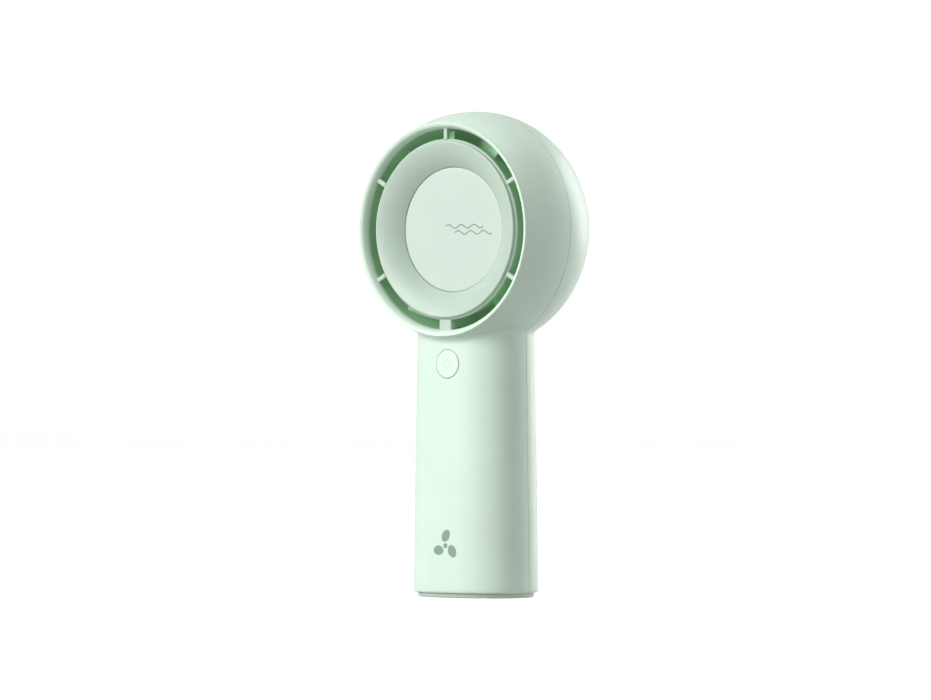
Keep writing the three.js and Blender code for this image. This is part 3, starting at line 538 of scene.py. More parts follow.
MATERIALS = {
    "shell_plastic": moulded("mint_shell", linear(214, 234, 218), 0.42, glow=0.15),
    # painted shade: the grille is given a darker mint than the shell, standing in for the shade that
    # falls in the dish
    "grille_plastic": moulded("mint_grille_painted_shade", linear(183, 201, 186), 0.42, glow=0.1),
    # painted shade: the disc is a darker mint than the shell, standing in for the shade it gets deep in
    # the dish
    "disc_plastic": moulded("mint_disc_painted_shade", linear(196, 209, 198), 0.38, grain_mm=0.16),
    "button_plastic": moulded("mint_button", linear(220, 236, 223), 0.4, grain_mm=0.16),
    # painted shade: duct and rotor are a darker, greener mint than the shell, standing in for the shade
    # and green bounce light deep inside the head; inner_light adds a painted glow
    "duct_plastic": moulded("green_duct_painted_shade", linear(148, 190, 150), 0.5, inner_light=0.1),
    "rotor_plastic": moulded("green_rotor_painted_shade", linear(150, 192, 152), 0.45, inner_light=0.1),
    "foot_plastic": moulded("mint_foot", linear(192, 210, 196), 0.6, 0.35, 0.01),
    "print_ink": moulded("print_ink", linear(128, 158, 141), 0.5, grain_mm=0.1),
    "pale_ink": moulded("pale_ink", linear(196, 214, 200), 0.5, grain_mm=0.1),
    "black_plastic": moulded("black_plastic", linear(34, 35, 37), 0.5),
    "white_plastic": moulded("foam_pad", linear(226, 226, 220), 0.8, 0.6, 0.05),
    "cell_wrap": moulded("cell_wrap", linear(52, 122, 174), 0.3, grain_mm=1.2),
    "wire_insulation": moulded("black_wire", linear(38, 38, 40), 0.5, grain_mm=0.3),
    "wire_red": moulded("red_wire", linear(176, 52, 46), 0.45, grain_mm=0.3),
    "led_lens": moulded("led_lens", linear(240, 241, 228), 0.15, grain_mm=0.5),
    "steel": metal("turned_steel", linear(196, 198, 200), 0.26),
    "motor_steel": metal("lamination_steel", linear(122, 125, 128), 0.34, grain_mm=0.25),
    "magnet": metal("magnet_ferrite", linear(72, 72, 76), 0.5, grain_mm=0.6, brushed=False),
    "nickel": metal("nickel_strip", linear(205, 202, 190), 0.28),
    "copper": windings("copper_windings", linear(198, 118, 72), 0.25),
    "circuit_board": circuit_board("green_board", linear(28, 92, 58), linear(70, 132, 84)),
}

# ---- outer form ----


def barrel_radius(y):
    return HEAD_R * math.sqrt(1 - ((y - SEAM_Y) / BARREL_AXIS) ** 2)


def dome_y(inset, radius):
    return SEAM_Y + (DOME_DEPTH - inset) * math.sqrt(1 - (radius / (HEAD_R - inset)) ** 2)


def dome_profile(inset, end_radius, count):
    """Points of the rear dome, or one inset from it, from the parting plane to a radius."""
    points = []
    for t in np.linspace(0, math.acos(end_radius / (HEAD_R - inset)), count):
        y = SEAM_Y + (DOME_DEPTH - inset) * math.sin(t)
        points.append(((HEAD_R - inset) * math.cos(t), y))
    return points


def arc(centre, radius, start, end, count):
    """Points of a round corner of a profile, by angle in degrees from the +radius direction."""
    points = []
    for t in np.radians(np.linspace(start, end, count)):
        points.append((centre[0] + radius * math.cos(t), centre[1] + radius * math.sin(t)))
    return points


def handle_halves(z, inset=0.0):
    return (
        HANDLE_HALF_WIDTH - HANDLE_TAPER * z - inset,
        HANDLE_HALF_DEPTH - HANDLE_TAPER * z - inset,
    )


def handle_ring(z, inset, count=320):
    a, b = handle_halves(z, inset)
    ring = []
    for t in np.linspace(0, 2 * math.pi, count, endpoint=False):
        c, s = math.cos(t), math.sin(t)
        x = math.copysign(abs(c) ** (2 / HANDLE_POWER), c)
        y = math.copysign(abs(s) ** (2 / HANDLE_POWER), s)
        ring.append((a * x, b * y, z))
    return ring


def handle_surface_y(x, z, side):
    """The handle's front (side -1) or rear (side 1) surface at x and z."""
    a, b = handle_halves(z)
    return side * b * (1 - abs(x / a) ** HANDLE_POWER) ** (1 / HANDLE_POWER)


def head_field(p):
    """Distance to the head's outer surface, near it, and its slope."""
    x, y, z = p[:, 0], p[:, 1] - SEAM_Y, p[:, 2] - HEAD_Z
    depth = np.where(y < 0, BARREL_AXIS, DOME_DEPTH)
    g = (x * x + z * z) / HEAD_R**2 + (y / depth) ** 2 - 1
    slope = np.stack([2 * x / HEAD_R**2, 2 * y / depth**2, 2 * z / HEAD_R**2], 1)
    return g / np.maximum(np.linalg.norm(slope, axis=1), 1e-9)


def handle_field(p):
    a = HANDLE_HALF_WIDTH - HANDLE_TAPER * p[:, 2]
    b = HANDLE_HALF_DEPTH - HANDLE_TAPER * p[:, 2]
    u, v = np.abs(p[:, 0]) / a, np.abs(p[:, 1]) / b
    n = HANDLE_POWER
    g = u**n + v**n - 1
    gx = n * u ** (n - 1) / a
    gy = n * v ** (n - 1) / b
    return g / np.maximum(np.sqrt(gx * gx + gy * gy), 1e-9)


def outer_field(p):
    """Head and handle joined with a small fillet where they meet."""
    head, handle = head_field(p), handle_field(p)
    near = np.maximum(NECK_BLEND - np.abs(head - handle), 0) / NECK_BLEND
    return np.minimum(head, handle) - near * near * NECK_BLEND / 4


def field_slope(p, step=0.01):
    slope = np.empty_like(p)
    for axis in range(3):
        shift = np.zeros(3)
        shift[axis] = step
        slope[:, axis] = (outer_field(p + shift) - outer_field(p - shift)) / (2 * step)
    return slope


def fillet_neck(piece):
    """Draws the outer surface near the corner between head and handle onto the fillet."""
    mesh = piece.data
    p = np.empty(len(mesh.vertices) * 3)
    mesh.vertices.foreach_get("co", p)
    p = p.reshape(-1, 3)
    head, handle = head_field(p), handle_field(p)
    outside = np.abs(np.minimum(head, handle)) < 2.5 * ON_FORM
    near = outside & (np.abs(head - handle) < NECK_BLEND) & (p[:, 2] < HEAD_Z)
    q = p[near]
    for _ in range(4):
        slope = field_slope(q)
        q = q - slope * (outer_field(q) / np.maximum((slope**2).sum(1), 1e-9))[:, None]
    p[near] = q
    mesh.vertices.foreach_set("co", p.ravel())
    mesh.update()


def true_normals(piece):
    """Gives the outer faces the exact normals of the form, so that cuts leave no mark on them."""
    mesh = piece.data
    places = np.empty(len(mesh.vertices) * 3)
    mesh.vertices.foreach_get("co", places)
    places = places.reshape(-1, 3) / METRES
    corner = np.empty(len(mesh.loops), dtype=np.int64)
    mesh.loops.foreach_get("vertex_index", corner)
    normals = np.empty(len(mesh.loops) * 3)
    mesh.corner_normals.foreach_get("vector", normals)
    normals = normals.reshape(-1, 3)
    on_form = np.abs(outer_field(places)) < ON_FORM
    on_form &= places[:, 1] > FORM_FRONT_Y
    on_form &= places[:, 2] > FORM_BASE_Z
    slope = field_slope(places)
    slope /= np.maximum(np.linalg.norm(slope, axis=1), 1e-9)[:, None]
    for face in mesh.polygons:
        loops = list(face.loop_indices)
        ids = corner[loops]
        if on_form[ids].all() and slope[ids].mean(0) @ np.array(face.normal) > 0.8:
            normals[loops] = slope[ids]
    mesh.normals_split_custom_set(normals)


# ---- housing ----


def handle_levels():
    """Height and inset of the handle's rings, closest together where the head joins."""
    levels = [(SHELL_BASE_Z + height, inset) for height, inset in HANDLE_EDGE]
    heights = [*np.linspace(4, 72, 35), *np.linspace(72.4, 86, 35), HANDLE_TOP_Z]
    return levels + [(z, 0) for z in heights]


def head_angles():
    """Turning angles, closest together at the bottom where the handle joins."""
    bottom, half = math.radians(270), math.radians(38)
    fine = np.linspace(bottom - half, bottom + half, 150, endpoint=False)
    coarse = np.linspace(bottom + half, bottom - half + 2 * math.pi, 150, endpoint=False)
    return np.concatenate([fine, coarse])


def sloped_profile(r0, r1, y0, slopes, count):
    """[radius, y] points from r0 in to r1 whose slope from flat changes evenly, in degrees."""
    radii = np.linspace(r0, r1, count)
    rise = np.tan(np.radians(np.linspace(*slopes, count)))
    falls = np.concatenate([[0], np.cumsum((rise[1:] + rise[:-1]) / 2 * -np.diff(radii))])
    return list(zip(radii, y0 + falls))


def head_ring_profile():
    """Section through the head's wall, from the lip round the outside to the intake and back."""
    mouth = GRILLE_R + INTAKE_GAP
    chamfer, chamfer_depth = INTAKE_CHAMFER
    rim = sloped_profile(LIP_OUTER_R - LIP_EDGE, LIP_RIM_R, FRONT_Y, LIP_RIM_SLOPE, 5)
    funnel = rim[:-1] + sloped_profile(LIP_RIM_R, LIP_MOUTH_R, rim[-1][1], LIP_FUNNEL_SLOPE, 9)
    funnel.reverse()
    edge = arc((LIP_OUTER_R - LIP_EDGE, FRONT_Y + LIP_EDGE), LIP_EDGE, 300, 370, 5)
    barrel = [(barrel_radius(y), y) for y in np.linspace(LIP_BARREL_Y, SEAM_Y, 40)[:-1]]
    dome = dome_profile(0, mouth + chamfer, 40)
    inner_dome = dome_profile(WALL, mouth, 24)[::-1]
    inner_barrel = [(barrel_radius(y) - WALL, y) for y in np.linspace(SEAM_Y, LIP_BACK_Y, 16)[1:]]
    corner = (mouth, dome_y(0, mouth) - chamfer_depth)
    outside = [*funnel, *edge, *barrel, *dome, corner]
    return [(funnel[0][0], LIP_BACK_Y), *outside, *inner_dome, *inner_barrel]


def head_cavity():
    """What the handle is cleared from inside the head, half a wall beyond the head's own hollow."""
    deep = WALL / 2
    radius, back_y = LIP_INNER_R + CAVITY_GAP, LIP_BACK_Y + CAVITY_GAP
    front = [(radius, LIP_BACK_Y - CAVITY_REACH), (radius, back_y)]
    barrel = [(barrel_radius(y) - deep, y) for y in np.linspace(back_y + 0.2, SEAM_Y, 16)]
    dome = dome_profile(deep, CAVITY_REAR_R, 24)[1:]
    profile = [(0, front[0][1]), *front, *barrel, *dome, (0, dome[-1][1])]
    return turned("head_cavity", profile, segments=180)


def make_shells():
    """Head and handle as one hollow body, parted along the seam into two shells."""
    shell = turned("shell", head_ring_profile(), angles=head_angles())
    handle = loft("handle", [handle_ring(z, inset) for z, inset in handle_levels()])
    boolean(handle, "DIFFERENCE", [head_cavity()])
    boolean(shell, "UNION", [handle])
    hollow_levels = [(SHELL_BASE_Z - 1, WALL), (HANDLE_TOP_Z + 1, WALL)]
    hollow = loft("hollow", [handle_ring(z, inset, 160) for z, inset in hollow_levels])
    boolean(shell, "DIFFERENCE", [hollow])
    fillet_neck(shell)
    halves = []
    for name, y0, y1 in (
        ("front_housing", SEAM_Y - SEAM_GAP / 2, FAR),
        ("rear_housing", -FAR, SEAM_Y + SEAM_GAP / 2),
    ):
        half = new_object(name, shell.data.copy())
        boolean(half, "DIFFERENCE", [block("half_space", (-FAR, y0, -FAR), (FAR, y1, 3 * FAR))])
        halves.append(half)
    bpy.data.objects.remove(shell, do_unlink=True)
    front, rear = halves
    boolean(front, "DIFFERENCE", [button_hole()])
    boolean(rear, "DIFFERENCE", [usb_cutter()])
    for half, node in ((front, "front_shell"), (rear, "rear_shell")):
        finish_piece(half, MATERIALS["shell_plastic"], "housing", [node])
        true_normals(half)


def button_hole():
    """Round hole with a small chamfer at the surface."""
    surface = handle_surface_y(0, BUTTON_Z, -1)
    radius, chamfer = BUTTON_R + BUTTON_GAP, BUTTON_HOLE_CHAMFER
    before, behind = 3, 4
    profile = [(0, surface - before), (radius + before + chamfer, surface - before)]
    profile += [(radius, surface + chamfer), (radius, surface + behind), (0, surface + behind)]
    return turned("button_hole", profile, segments=128, centre_z=BUTTON_Z)


def stadium(half_width, half_height, y, z, count=24):
    """Slot outline with round ends, square to Y."""
    centre = half_width - half_height
    ring = []
    for side, start in ((1, -90), (-1, 90)):
        for t in np.radians(np.linspace(start, start + 180, count)):
            ring.append((side * centre + half_height * math.cos(t), y, z + half_height * math.sin(t)))
    return ring


def usb_cutter():
    """Slot for the charging socket, with a chamfer at its mouth."""
    surface = handle_surface_y(0, USB_Z, 1)
    w, h = USB_HALF_WIDTH + SOCKET_GAP, USB_HALF_HEIGHT + SOCKET_GAP
    rings = [stadium(w + grown, h + grown, surface + y, USB_Z) for y, grown in SOCKET_HOLE_FLARE]
    return loft("usb_cutter", rings)


def make_intake_grille():
    """Domed cap with two rings of round-ended slots."""
    rim, skin = GRILLE_R, INTAKE_SKIN
    skirt_r = rim - INTAKE_SKIRT_WALL
    skirt_y = dome_y(0, rim) - INTAKE_SKIRT
    edge, edge_depth = INTAKE_EDGE
    outside = [(r, y) for r, y in dome_profile(0, 0.01, 70) if r < rim - edge]
    inside = [(r, y) for r, y in dome_profile(skin, 0.01, 50) if r < skirt_r - edge][::-1]
    profile = [(0, dome_y(skin, 0)), *inside, (skirt_r, dome_y(skin, skirt_r)), (skirt_r, skirt_y)]
    profile += [(rim, skirt_y), (rim, dome_y(0, rim) - edge_depth), *outside, (0, dome_y(0, 0))]
    cap = turned("intake_cap", profile, segments=216)
    slots = []
    for inner, outer, count in INTAKE_SLOTS:
        pitch = 2 * math.pi / count
        for i in range(count):
            middle = (i + 0.5) * pitch
            slots.append(radial_slot(inner, outer, middle, INTAKE_SLOT_SHARE / 2 * pitch, skirt_y))
    boolean(cap, "DIFFERENCE", [join("slots", slots)])
    finish_piece(cap, MATERIALS["shell_plastic"], "housing", ["intake_grille"])


def radial_slot(inner, outer, middle, half_angle, y0):
    """Tapered slot with rounded ends, cut right through the cap."""
    small, big = inner * math.sin(half_angle), outer * math.sin(half_angle)
    outline = []
    for t in np.radians(np.linspace(90, 270, 9)):
        outline.append((inner + small + small * math.cos(t), small * math.sin(t)))
    for t in np.radians(np.linspace(270, 450, 9)):
        outline.append((outer - big + big * math.cos(t), big * math.sin(t)))
    c, s = math.cos(middle), math.sin(middle)
    rings = []
    for y in (y0, DOME_DEPTH + 10):
        rings.append([(u * c - v * s, y, HEAD_Z + u * s + v * c) for u, v in outline])
    return loft("slot", rings)


def screw_place(node):
    """A screw's centre line and its lower and upper ends."""
    low, high = box_mm(node)
    return (low[0] + high[0]) / 2, (low[1] + high[1]) / 2, low[2], high[2]


def make_foot(screws):
    """Recessed plate under the shells, with a hole and a sunk seat for each screw."""
    foot = loft("foot_plate", [handle_ring(z, inset, 240) for z, inset in FOOT_EDGE])
    for node in screws:
        x, y, _, _ = screw_place(node)
        recess = bar("recess", (x, y, -1), (x, y, SCREW_RECESS_Z), SCREW_RECESS_R)
        hole = bar("hole", (x, y, 1), (x, y, FOOT_COLLAR_TOP + 1), SCREW_HOLE_R, 24)
        boolean(foot, "DIFFERENCE", [recess])
        boolean(foot, "DIFFERENCE", [hole])
    finish_piece(foot, MATERIALS["foot_plastic"], "housing", ["base_foot"])


def make_foot_screw(node):
    """Self-tapping screw with a pan head and a cross recess, its thread as close rings."""
    x, y, bottom, top = screw_place(node)
    low, high = box_mm(node)
    head_r, length = (high[0] - low[0]) / 2, top - bottom
    crown = arc((head_r - SCREW_CROWN, SCREW_CROWN), SCREW_CROWN, 270, 360, 6)
    profile = [(0, 0), *crown, (head_r, SCREW_HEAD), (SCREW_R, SCREW_HEAD)]
    z = SCREW_HEAD + SCREW_CROWN
    while z < length - SCREW_POINT:
        profile += [(SCREW_R - SCREW_THREAD, z), (SCREW_R, z + SCREW_PITCH / 2)]
        z += SCREW_PITCH
    profile += [(SCREW_R - SCREW_THREAD, z), (SCREW_POINT_R, length), (0, length)]
    screw = turned(node + "_visual", profile, segments=32, centre_z=0)
    upright = Matrix(((1, 0, 0, x), (0, 0, 1, y), (0, 1, 0, bottom), (0, 0, 0, 1)))
    screw.data.transform(upright)
    screw.data.flip_normals()
    half, narrow, deep = SCREW_CROSS
    for a, b in ((half, narrow), (narrow, half)):
        corners = ((x - a, y - b, bottom - 1), (x + a, y + b, bottom + deep))
        boolean(screw, "DIFFERENCE", [block("cross", *corners)])
    finish_piece(screw, MATERIALS["steel"], "housing", [node])


# ---- outlet ----


def rounded_rib(angle, width, inner, outer, y0, y1):
    """Bar across the outlet, with a rounded front edge."""
    half = width / 2
    edge = min(RIB_EDGE, half * 0.6)
    left = arc((-half + edge, y0 + edge), edge, 180, 270, 6)
    right = arc((half - edge, y0 + edge), edge, 270, 360, 6)
    outline = [(-half, y1), *left, *right, (half, y1)]
    c, s = math.cos(angle), math.sin(angle)
    rings = []
    for r in (inner, outer):
        rings.append([(r * c - v * s, y, HEAD_Z + r * s + v * c) for v, y in outline])
    return loft("rib", rings)


def make_front_grille():
    """Dish and ribs in one moulding."""
    floor_y = DISC_Y + DISC_THICKNESS + DISC_SEAT_GAP
    face = sloped_profile(DISH_R - DISH_EDGE, DISC_R, DISH_RIM_Y, DISH_SLOPE, 40)[::-1]
    rim = arc((DISH_R - DISH_EDGE, DISH_RIM_Y + DISH_EDGE), DISH_EDGE, 285, 360, 8)
    collar = [(DISH_R, COLLAR_Y - 0.25), (COLLAR_R - COLLAR_EDGE, COLLAR_Y)]
    collar += [(COLLAR_R, COLLAR_Y + COLLAR_EDGE), (COLLAR_R, SKIRT_Y)]
    back = [(r - DISH_SKIN / 3, y + DISH_SKIN) for r, y in face[::-1][6:-4:4]]
    profile = [(0, floor_y), (DISC_R, floor_y), *face, *rim, *collar]
    profile += [(DISH_R - DISH_SKIN, SKIRT_Y), *back]
    profile += [(DISC_R - DISH_SKIN, floor_y + DISH_SKIN), (0, floor_y + DISH_SKIN)]
    dish = turned("front_dish", profile, segments=240)
    ribs = []
    for i in range(RIB_COUNT):
        angle = math.radians(90 + i * 360 / RIB_COUNT)
        width = WIDE_RIB_WIDTH if i == RIB_COUNT // 2 else RIB_WIDTH
        ribs.append(rounded_rib(angle, width, COLLAR_R - 0.1, RIB_TIP_R, RIB_FRONT_Y, SKIRT_Y))
    boolean(dish, "UNION", [join("ribs", ribs)])
    finish_piece(dish, MATERIALS["grille_plastic"], "housing", ["front_grille"])


def make_disc():
    """Flat disc in the middle of the dish, its front edge rounded."""
    radius = DISC_R - DISC_GAP
    corner = arc((radius - DISC_EDGE, DISC_Y + DISC_EDGE), DISC_EDGE, 270, 360, 8)
    face = [(r, DISC_Y) for r in np.linspace(0, radius - DISC_EDGE, 14)[:-1]]
    back_y = DISC_Y + DISC_THICKNESS
    disc = turned("disc", [*face, *corner, (radius, back_y), (0, back_y)], segments=240)
    finish_piece(disc, MATERIALS["disc_plastic"], "housing", ["center_disc"])


# ---- air path and rotor ----


def smooth_through(knots, count):
    """A smooth curve through [y, radius] knots, as [radius, y] points."""
    knots = np.array(knots, float)
    n = len(knots)
    points = []
    for s in np.linspace(0, n - 1, count):
        i = min(int(s), n - 2)
        t = s - i
        p1, p2 = knots[i], knots[i + 1]
        p0 = knots[i - 1] if i else 2 * p1 - p2
        p3 = knots[i + 2] if i + 2 < n else 2 * p2 - p1
        y, r = 0.5 * (
            2 * p1 + (p2 - p0) * t + (2 * p0 - 5 * p1 + 4 * p2 - p3) * t**2
            + (3 * p1 - p0 - 3 * p2 + p3) * t**3
        )
        points.append((max(r, 0.0), y))
    return points


def radius_along(knots, y):
    return float(np.interp(y, [k[0] for k in knots], [k[1] for k in knots]))


def blade(root_at, tip_at, span, angle_at, thickness_at, radial=6, axial=16):
    """Blade between two surfaces of revolution; angle and thickness go by the part of its span."""
    rings = []
    for s in np.linspace(0, 1, axial + 1):
        y = span[0] + s * (span[1] - span[0])
        root, tip = root_at(y), tip_at(y)
        ring = []
        for side, steps in ((-0.5, range(radial + 1)), (0.5, range(radial, -1, -1))):
            for i in steps:
                r = root + (tip - root) * i / radial
                angle = angle_at(s) + side * thickness_at(s) / r
                ring.append((r * math.cos(angle), y, HEAD_Z + r * math.sin(angle)))
        rings.append(ring)
    return loft("blade", rings)


def cable_slot():
    """Where the motor's cable passes through the duct and the pod, below the axis."""
    (y0, y1), (near, far), half = CABLE_SLOT_Y, CABLE_SLOT_R, CABLE_SLOT_HALF
    return block("cable_slot", (-half, y0, HEAD_Z - far), (half, y1, HEAD_Z - near))


def make_duct():
    """Outer wall of the air channel, thin where the outlet's lip covers it."""
    inside = smooth_through(DUCT_INNER, 40)
    outside = []
    for r, y in inside[::-1]:
        outside.append((r + (DUCT_EDGE_WALL if y < DUCT_EDGE_Y else DUCT_WALL), y))
    duct = turned("duct_wall", [*inside, *outside], segments=200)
    boolean(duct, "DIFFERENCE", [cable_slot()])
    finish_piece(duct, MATERIALS["duct_plastic"], "housing", ["air_duct"])


def make_vanes():
    """Motor pod with its slanted guide vanes and the thick strut that the cable runs in."""
    outside = smooth_through(POD_OUTER, 30)
    inside = [(7, 3.2), (7, 1.8), (19, 1.8), (21.3, -1), (23.8, -5), (25.4, -9.3), (25.7, -13.6)]
    pod = turned("vane_pod", [*outside, *inside], segments=200)

    def root(y):
        return radius_along(POD_OUTER, y) - BLADE_ROOT

    def tip(y):
        return radius_along(DUCT_INNER, y) - VANE_TIP_GAP

    def thickness(s):
        return VANE_THICKNESS[0] + VANE_THICKNESS[1] * math.sin(math.pi * min(1, s + 0.15))

    vanes = []
    for i in range(VANE_COUNT):
        start = math.radians(270 + (i + 1) * 360 / (VANE_COUNT + 1))
        vanes.append(blade(root, tip, VANE_Y, lambda s, a=start: a + VANE_LEAN * s, thickness))
    strut = blade(root, tip, STRUT_Y, lambda s: math.radians(270), lambda s: STRUT_WIDTH)
    boolean(pod, "UNION", [join("vanes", [*vanes, strut])])
    boolean(pod, "DIFFERENCE", [cable_slot()])
    finish_piece(pod, MATERIALS["duct_plastic"], "housing", ["guide_vane_ring"])


def make_impeller():
    """Hub and swept blades of the rotor."""
    outside = smooth_through(HUB_OUTER, 50)[::-1]
    inside = [(18, 4.2), (17.1, 7.9), (15.3, 11.5), (13.6, 13.3), (9.6, 14.8), (4, 15.4)]
    inside += [(4, 13), (1.8, 13), (1.8, 15.5), (0, 15.5)]
    hub = turned("impeller_hub", [*outside, *inside], segments=160)
    tip_r = box_mm("impeller")[1][0]

    def root(y):
        return radius_along(HUB_OUTER, y) - BLADE_ROOT

    def thickness(s):
        middle = math.sin(math.pi * min(1, max(0, s * 0.96 + 0.02))) ** 0.6
        return BLADE_THICKNESS[0] + BLADE_THICKNESS[1] * middle

    blades = []
    for i in range(BLADE_COUNT):
        start = i * 2 * math.pi / BLADE_COUNT
        blades.append(
            blade(root, lambda y: tip_r, BLADE_Y,
                  lambda s, a=start: a - BLADE_SWEEP * s + BLADE_CURL * s * s, thickness)
        )
    boolean(hub, "UNION", [join("blades", blades)])
    finish_piece(hub, MATERIALS["rotor_plastic"], "rotor", ["impeller"])


# ---- button and socket ----


def make_button():
    """Round cap whose face follows the handle, with a flange behind the wall."""
    depth = BUTTON_HIGH[1] - BUTTON_LOW[1]
    edge = arc((BUTTON_R - BUTTON_EDGE, BUTTON_EDGE), BUTTON_EDGE, 275, 360, 8)
    face = [(r, 0) for r in np.linspace(0, BUTTON_R - BUTTON_EDGE, 18)]
    back = [(BUTTON_R, depth - BUTTON_FLANGE), (BUTTON_HIGH[0], depth - BUTTON_FLANGE)]
    rear = depth - BUTTON_CABLE_ROOM
    profile = [*face, *edge, *back, (BUTTON_HIGH[0], rear), (0, rear)]
    cap = turned("button_cap", profile, segments=128, centre_z=BUTTON_Z)
    for vertex in cap.data.vertices:
        x, y, z = vertex.co
        if y < depth - BUTTON_FLANGE - 0.1:
            vertex.co.y = handle_surface_y(x, z, -1) - BUTTON_PROUD + y
        else:
            vertex.co.y = BUTTON_LOW[1] + y
    finish_piece(cap, MATERIALS["button_plastic"], "button", ["power_button"])


def make_socket():
    """Stamped steel sleeve of the charging socket."""
    y0, y1 = USB_LOW[1], USB_HIGH[1]
    w, h = USB_HALF_WIDTH, USB_HALF_HEIGHT
    sleeve = loft("socket_sleeve", [stadium(w, h, y, USB_Z) for y in (y0, y1)])
    w, h = w - SOCKET_WALL, h - SOCKET_WALL
    hollow = loft("hollow", [stadium(w, h, y, USB_Z) for y in (y0 + SOCKET_BACK, y1 + 1)])
    boolean(sleeve, "DIFFERENCE", [hollow])
    finish_piece(sleeve, MATERIALS["steel"], "housing", ["usb_socket_shell"])


# ---- printed marks ----


def ribbon(name, path, width_at, lay, columns=6):
    """A printed stroke along a 2D path; lay puts a point at a height on the surface."""
    path = [Vector(p) for p in path]
    last = len(path) - 1
    rings = []
    for i, p in enumerate(path):
        ahead = path[min(i + 1, last)] - path[max(i - 1, 0)]
        side = Vector((-ahead.y, ahead.x)).normalized() * width_at(i / last) / 2
        across = [p + side * u for u in np.linspace(1, -1, columns + 1)]
        rings.append([lay(q, 0) for q in across] + [lay(q, INK_HEIGHT) for q in across[::-1]])
    return loft(name, rings)


def stroke_arc(centre, radius, start, end, count):
    return [
        (centre[0] + radius * math.cos(t), centre[1] + radius * math.sin(t))
        for t in np.radians(np.linspace(start, end, count))
    ]


def on_disc(point, height):
    return (point[0], DISC_Y + INK_SINK - height, HEAD_Z + point[1])


def on_handle(point, height):
    x, z = point
    return (x, handle_surface_y(x, z, -1) + INK_SINK - height, z)


def on_button(point, height):
    x, y, z = on_handle(point, height)
    return (x, y - BUTTON_PROUD, z)


def make_breeze_mark():
    """Two rows of short waves, as a plain sign for moving air."""
    strokes = []
    for x0, x1, z in WAVE_ROWS:
        path = []
        for x in np.linspace(x0, x1, 90):
            path.append((x, z + WAVE_HEIGHT * math.sin((x - x0) * 2 * math.pi / WAVE_LENGTH)))
        strokes.append(ribbon("wave", path, lambda t: WAVE_STROKE, on_disc, 2))
    finish_piece(join("breeze_mark", strokes), MATERIALS["print_ink"], "housing")


def make_power_sign():
    """A broken ring and a short stem on the button."""
    circle = stroke_arc((0, BUTTON_Z), POWER_SIGN_R, *POWER_SIGN_ARC, 40)
    line = [(0, BUTTON_Z + z) for z in np.linspace(*POWER_SIGN_STEM, 8)]
    strokes = []
    for name, path in (("ring", circle), ("stem", line)):
        strokes.append(ribbon(name, path, lambda t: POWER_SIGN_STROKE, on_button, 2))
    finish_piece(join("power_sign", strokes), MATERIALS["pale_ink"], "button")


def bulge(t, ends):
    """Width of a round-ended stroke, as a share of its widest; ends is just under 1."""
    return math.sqrt(1 - (2 * ends * t - ends) ** 2)


def make_fan_sign():
    """Three swept petals about a dot: a plain sign for a fan."""
    parts = []
    inner = FAN_SIGN_HUB + PETAL_GAP
    for i in range(PETAL_COUNT):
        start = math.radians(PETAL_START + 360 * i / PETAL_COUNT)
        path = []
        for t in np.linspace(0, 1, 30):
            r = inner + (FAN_SIGN_R - inner) * t
            angle = start - PETAL_SWEEP * t
            path.append((r * math.cos(angle), FAN_SIGN_Z + r * math.sin(angle)))
        parts.append(ribbon("petal", path, lambda t: PETAL_WIDTH * bulge(t, 0.98), on_handle))
    line = [(0, FAN_SIGN_Z + FAN_SIGN_HUB * u) for u in np.linspace(-0.99, 0.99, 20)]
    parts.append(ribbon("dot", line, lambda t: 2 * FAN_SIGN_HUB * bulge(t, 0.99), on_handle))
    finish_piece(join("fan_sign", parts), MATERIALS["print_ink"], "housing")


# ---- scene ----


def dress_frame_nodes():
    """Each CAD node that stays gets its slot's material."""
    slots = {part["node"]: part["material_slot"] for part in frame["record"]["subparts"]}
    for node, piece in frame["nodes"].items():
        piece.data.materials.clear()
        piece.data.materials.append(MATERIALS[slots[node]])


def area_light(name, place, target, size, power):
    data = bpy.data.lights.new(name, "AREA")
    data.shape = "RECTANGLE"
    data.size, data.size_y = size
    data.energy = power
    light = bpy.data.objects.new(name, data)
    light.location = place
    light.rotation_mode = "QUATERNION"
    light.rotation_quaternion = (Vector(target) - Vector(place)).to_track_quat("-Z", "Y")
    bpy.context.scene.collection.objects.link(light)


def make_camera():
    data = bpy.data.cameras.new("camera")
    data.lens = CAMERA_LENS
    data.sensor_width = 36
    data.shift_x, data.shift_y = CAMERA_SHIFT
    data.clip_start, data.clip_end = 0.05, 50
    camera = bpy.data.objects.new("camera", data)
    back = Vector((math.sin(CAMERA_TURN), -math.cos(CAMERA_TURN), 0))
    camera.location = Vector((0, 0, AIM_Z)) + back * CAMERA_DISTANCE
    camera.rotation_mode = "QUATERNION"
    camera.rotation_quaternion = (-back).to_track_quat("-Z", "Y")
    bpy.context.scene.collection.objects.link(camera)
    bpy.context.scene.camera = camera


def around_view(turn, rise, distance):
    """A place by its angle to the right of the view and above the floor, in degrees and metres."""
    azimuth, height = CAMERA_TURN + math.radians(turn), math.radians(rise)
    flat = Vector((math.sin(azimuth), -math.cos(azimuth), 0))
    return distance * (flat * math.cos(height) + Vector((0, 0, math.sin(height))))


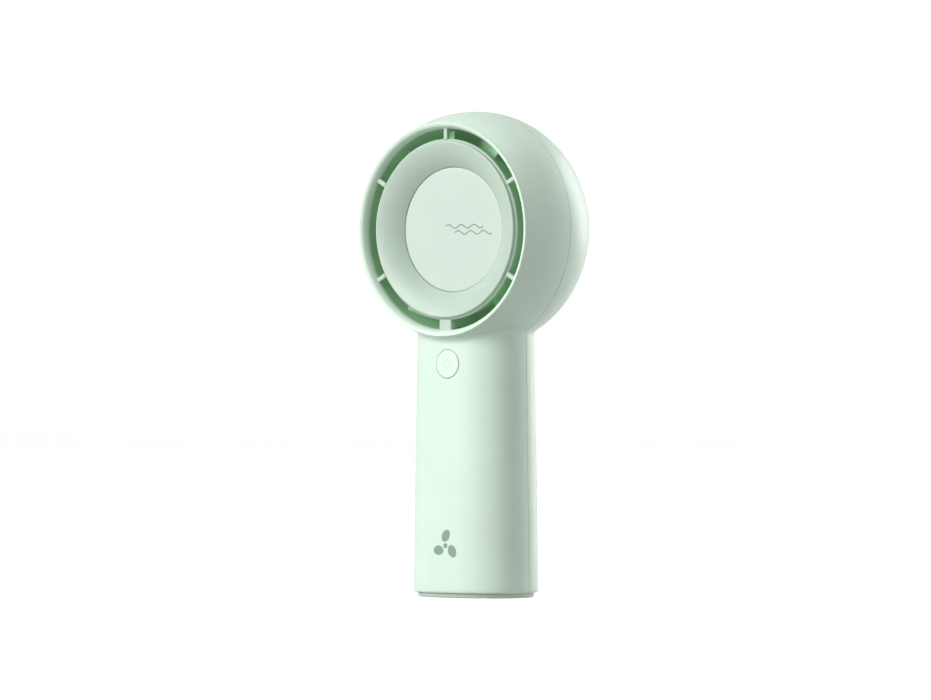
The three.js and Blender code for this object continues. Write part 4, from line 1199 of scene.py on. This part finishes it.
def make_studio():
    """Soft boxes, a soft fill from all round, and a white background behind the fan."""
    for name, (turn, rise, size, watts) in SOFTBOXES.items():
        place = STUDIO_MIDDLE + around_view(turn, rise, SOFTBOX_DISTANCE)
        area_light(name, place, STUDIO_MIDDLE, size, watts)
    world = bpy.data.worlds.new("studio")
    world.use_nodes = True
    nodes, links = world.node_tree.nodes, world.node_tree.links
    nodes.clear()
    out = nodes.new("ShaderNodeOutputWorld")
    soft = nodes.new("ShaderNodeBackground")
    place = nodes.new("ShaderNodeTexCoord")
    split = nodes.new("ShaderNodeSeparateXYZ")
    links.new(place.outputs["Generated"], split.inputs["Vector"])
    links.new(spread_to(nodes, links, split.outputs["Z"], *FILL, -1, 1), soft.inputs["Strength"])
    white = nodes.new("ShaderNodeBackground")
    white.inputs["Strength"].default_value = BACKGROUND
    for light in (soft, white):
        light.inputs["Color"].default_value = (1, 1, 1, 1)
    seen = nodes.new("ShaderNodeLightPath")
    mix = nodes.new("ShaderNodeMixShader")
    links.new(seen.outputs["Is Camera Ray"], mix.inputs["Fac"])
    links.new(soft.outputs["Background"], mix.inputs[1])
    links.new(white.outputs["Background"], mix.inputs[2])
    links.new(mix.outputs["Shader"], out.inputs["Surface"])
    bpy.context.scene.world = world
    bpy.context.scene.view_settings.view_transform = "Standard"


def make_floor():
    """Plain white floor, just clear of the foot."""
    half, z = FLOOR_HALF, -FLOOR_GAP
    corners = [(-half, -half, z), (half, -half, z), (half, half, z), (-half, half, z)]
    mesh = bpy.data.meshes.new("floor")
    mesh.from_pydata(corners, [], [(0, 1, 2, 3)])
    floor = new_object("floor", mesh)
    material, nodes, links, shader = tree_of("floor_white")
    tone = shades(nodes, links, noise(nodes, links, 60, 3), (0.34, 0.34, 0.34), (0.37, 0.37, 0.37))
    links.new(tone, shader.inputs["Base Color"])
    shader.inputs["Roughness"].default_value = 0.9
    shader.inputs["Specular IOR Level"].default_value = 0.0
    shader.inputs["Emission Color"].default_value = (1, 1, 1, 1)
    shader.inputs["Emission Strength"].default_value = FLOOR_GLOW
    mesh.materials.append(material)
    floor.visible_diffuse = False


dress_frame_nodes()
make_shells()
make_intake_grille()
FOOT_SCREWS = [f"foot_screw_{number + 1}" for number in range(SCREW_COUNT)]
make_foot(FOOT_SCREWS)
for screw_node in FOOT_SCREWS:
    make_foot_screw(screw_node)
make_front_grille()
make_disc()
make_duct()
make_vanes()
make_impeller()
make_button()
make_socket()
make_breeze_mark()
make_power_sign()
make_fan_sign()
make_camera()
make_studio()
make_floor()
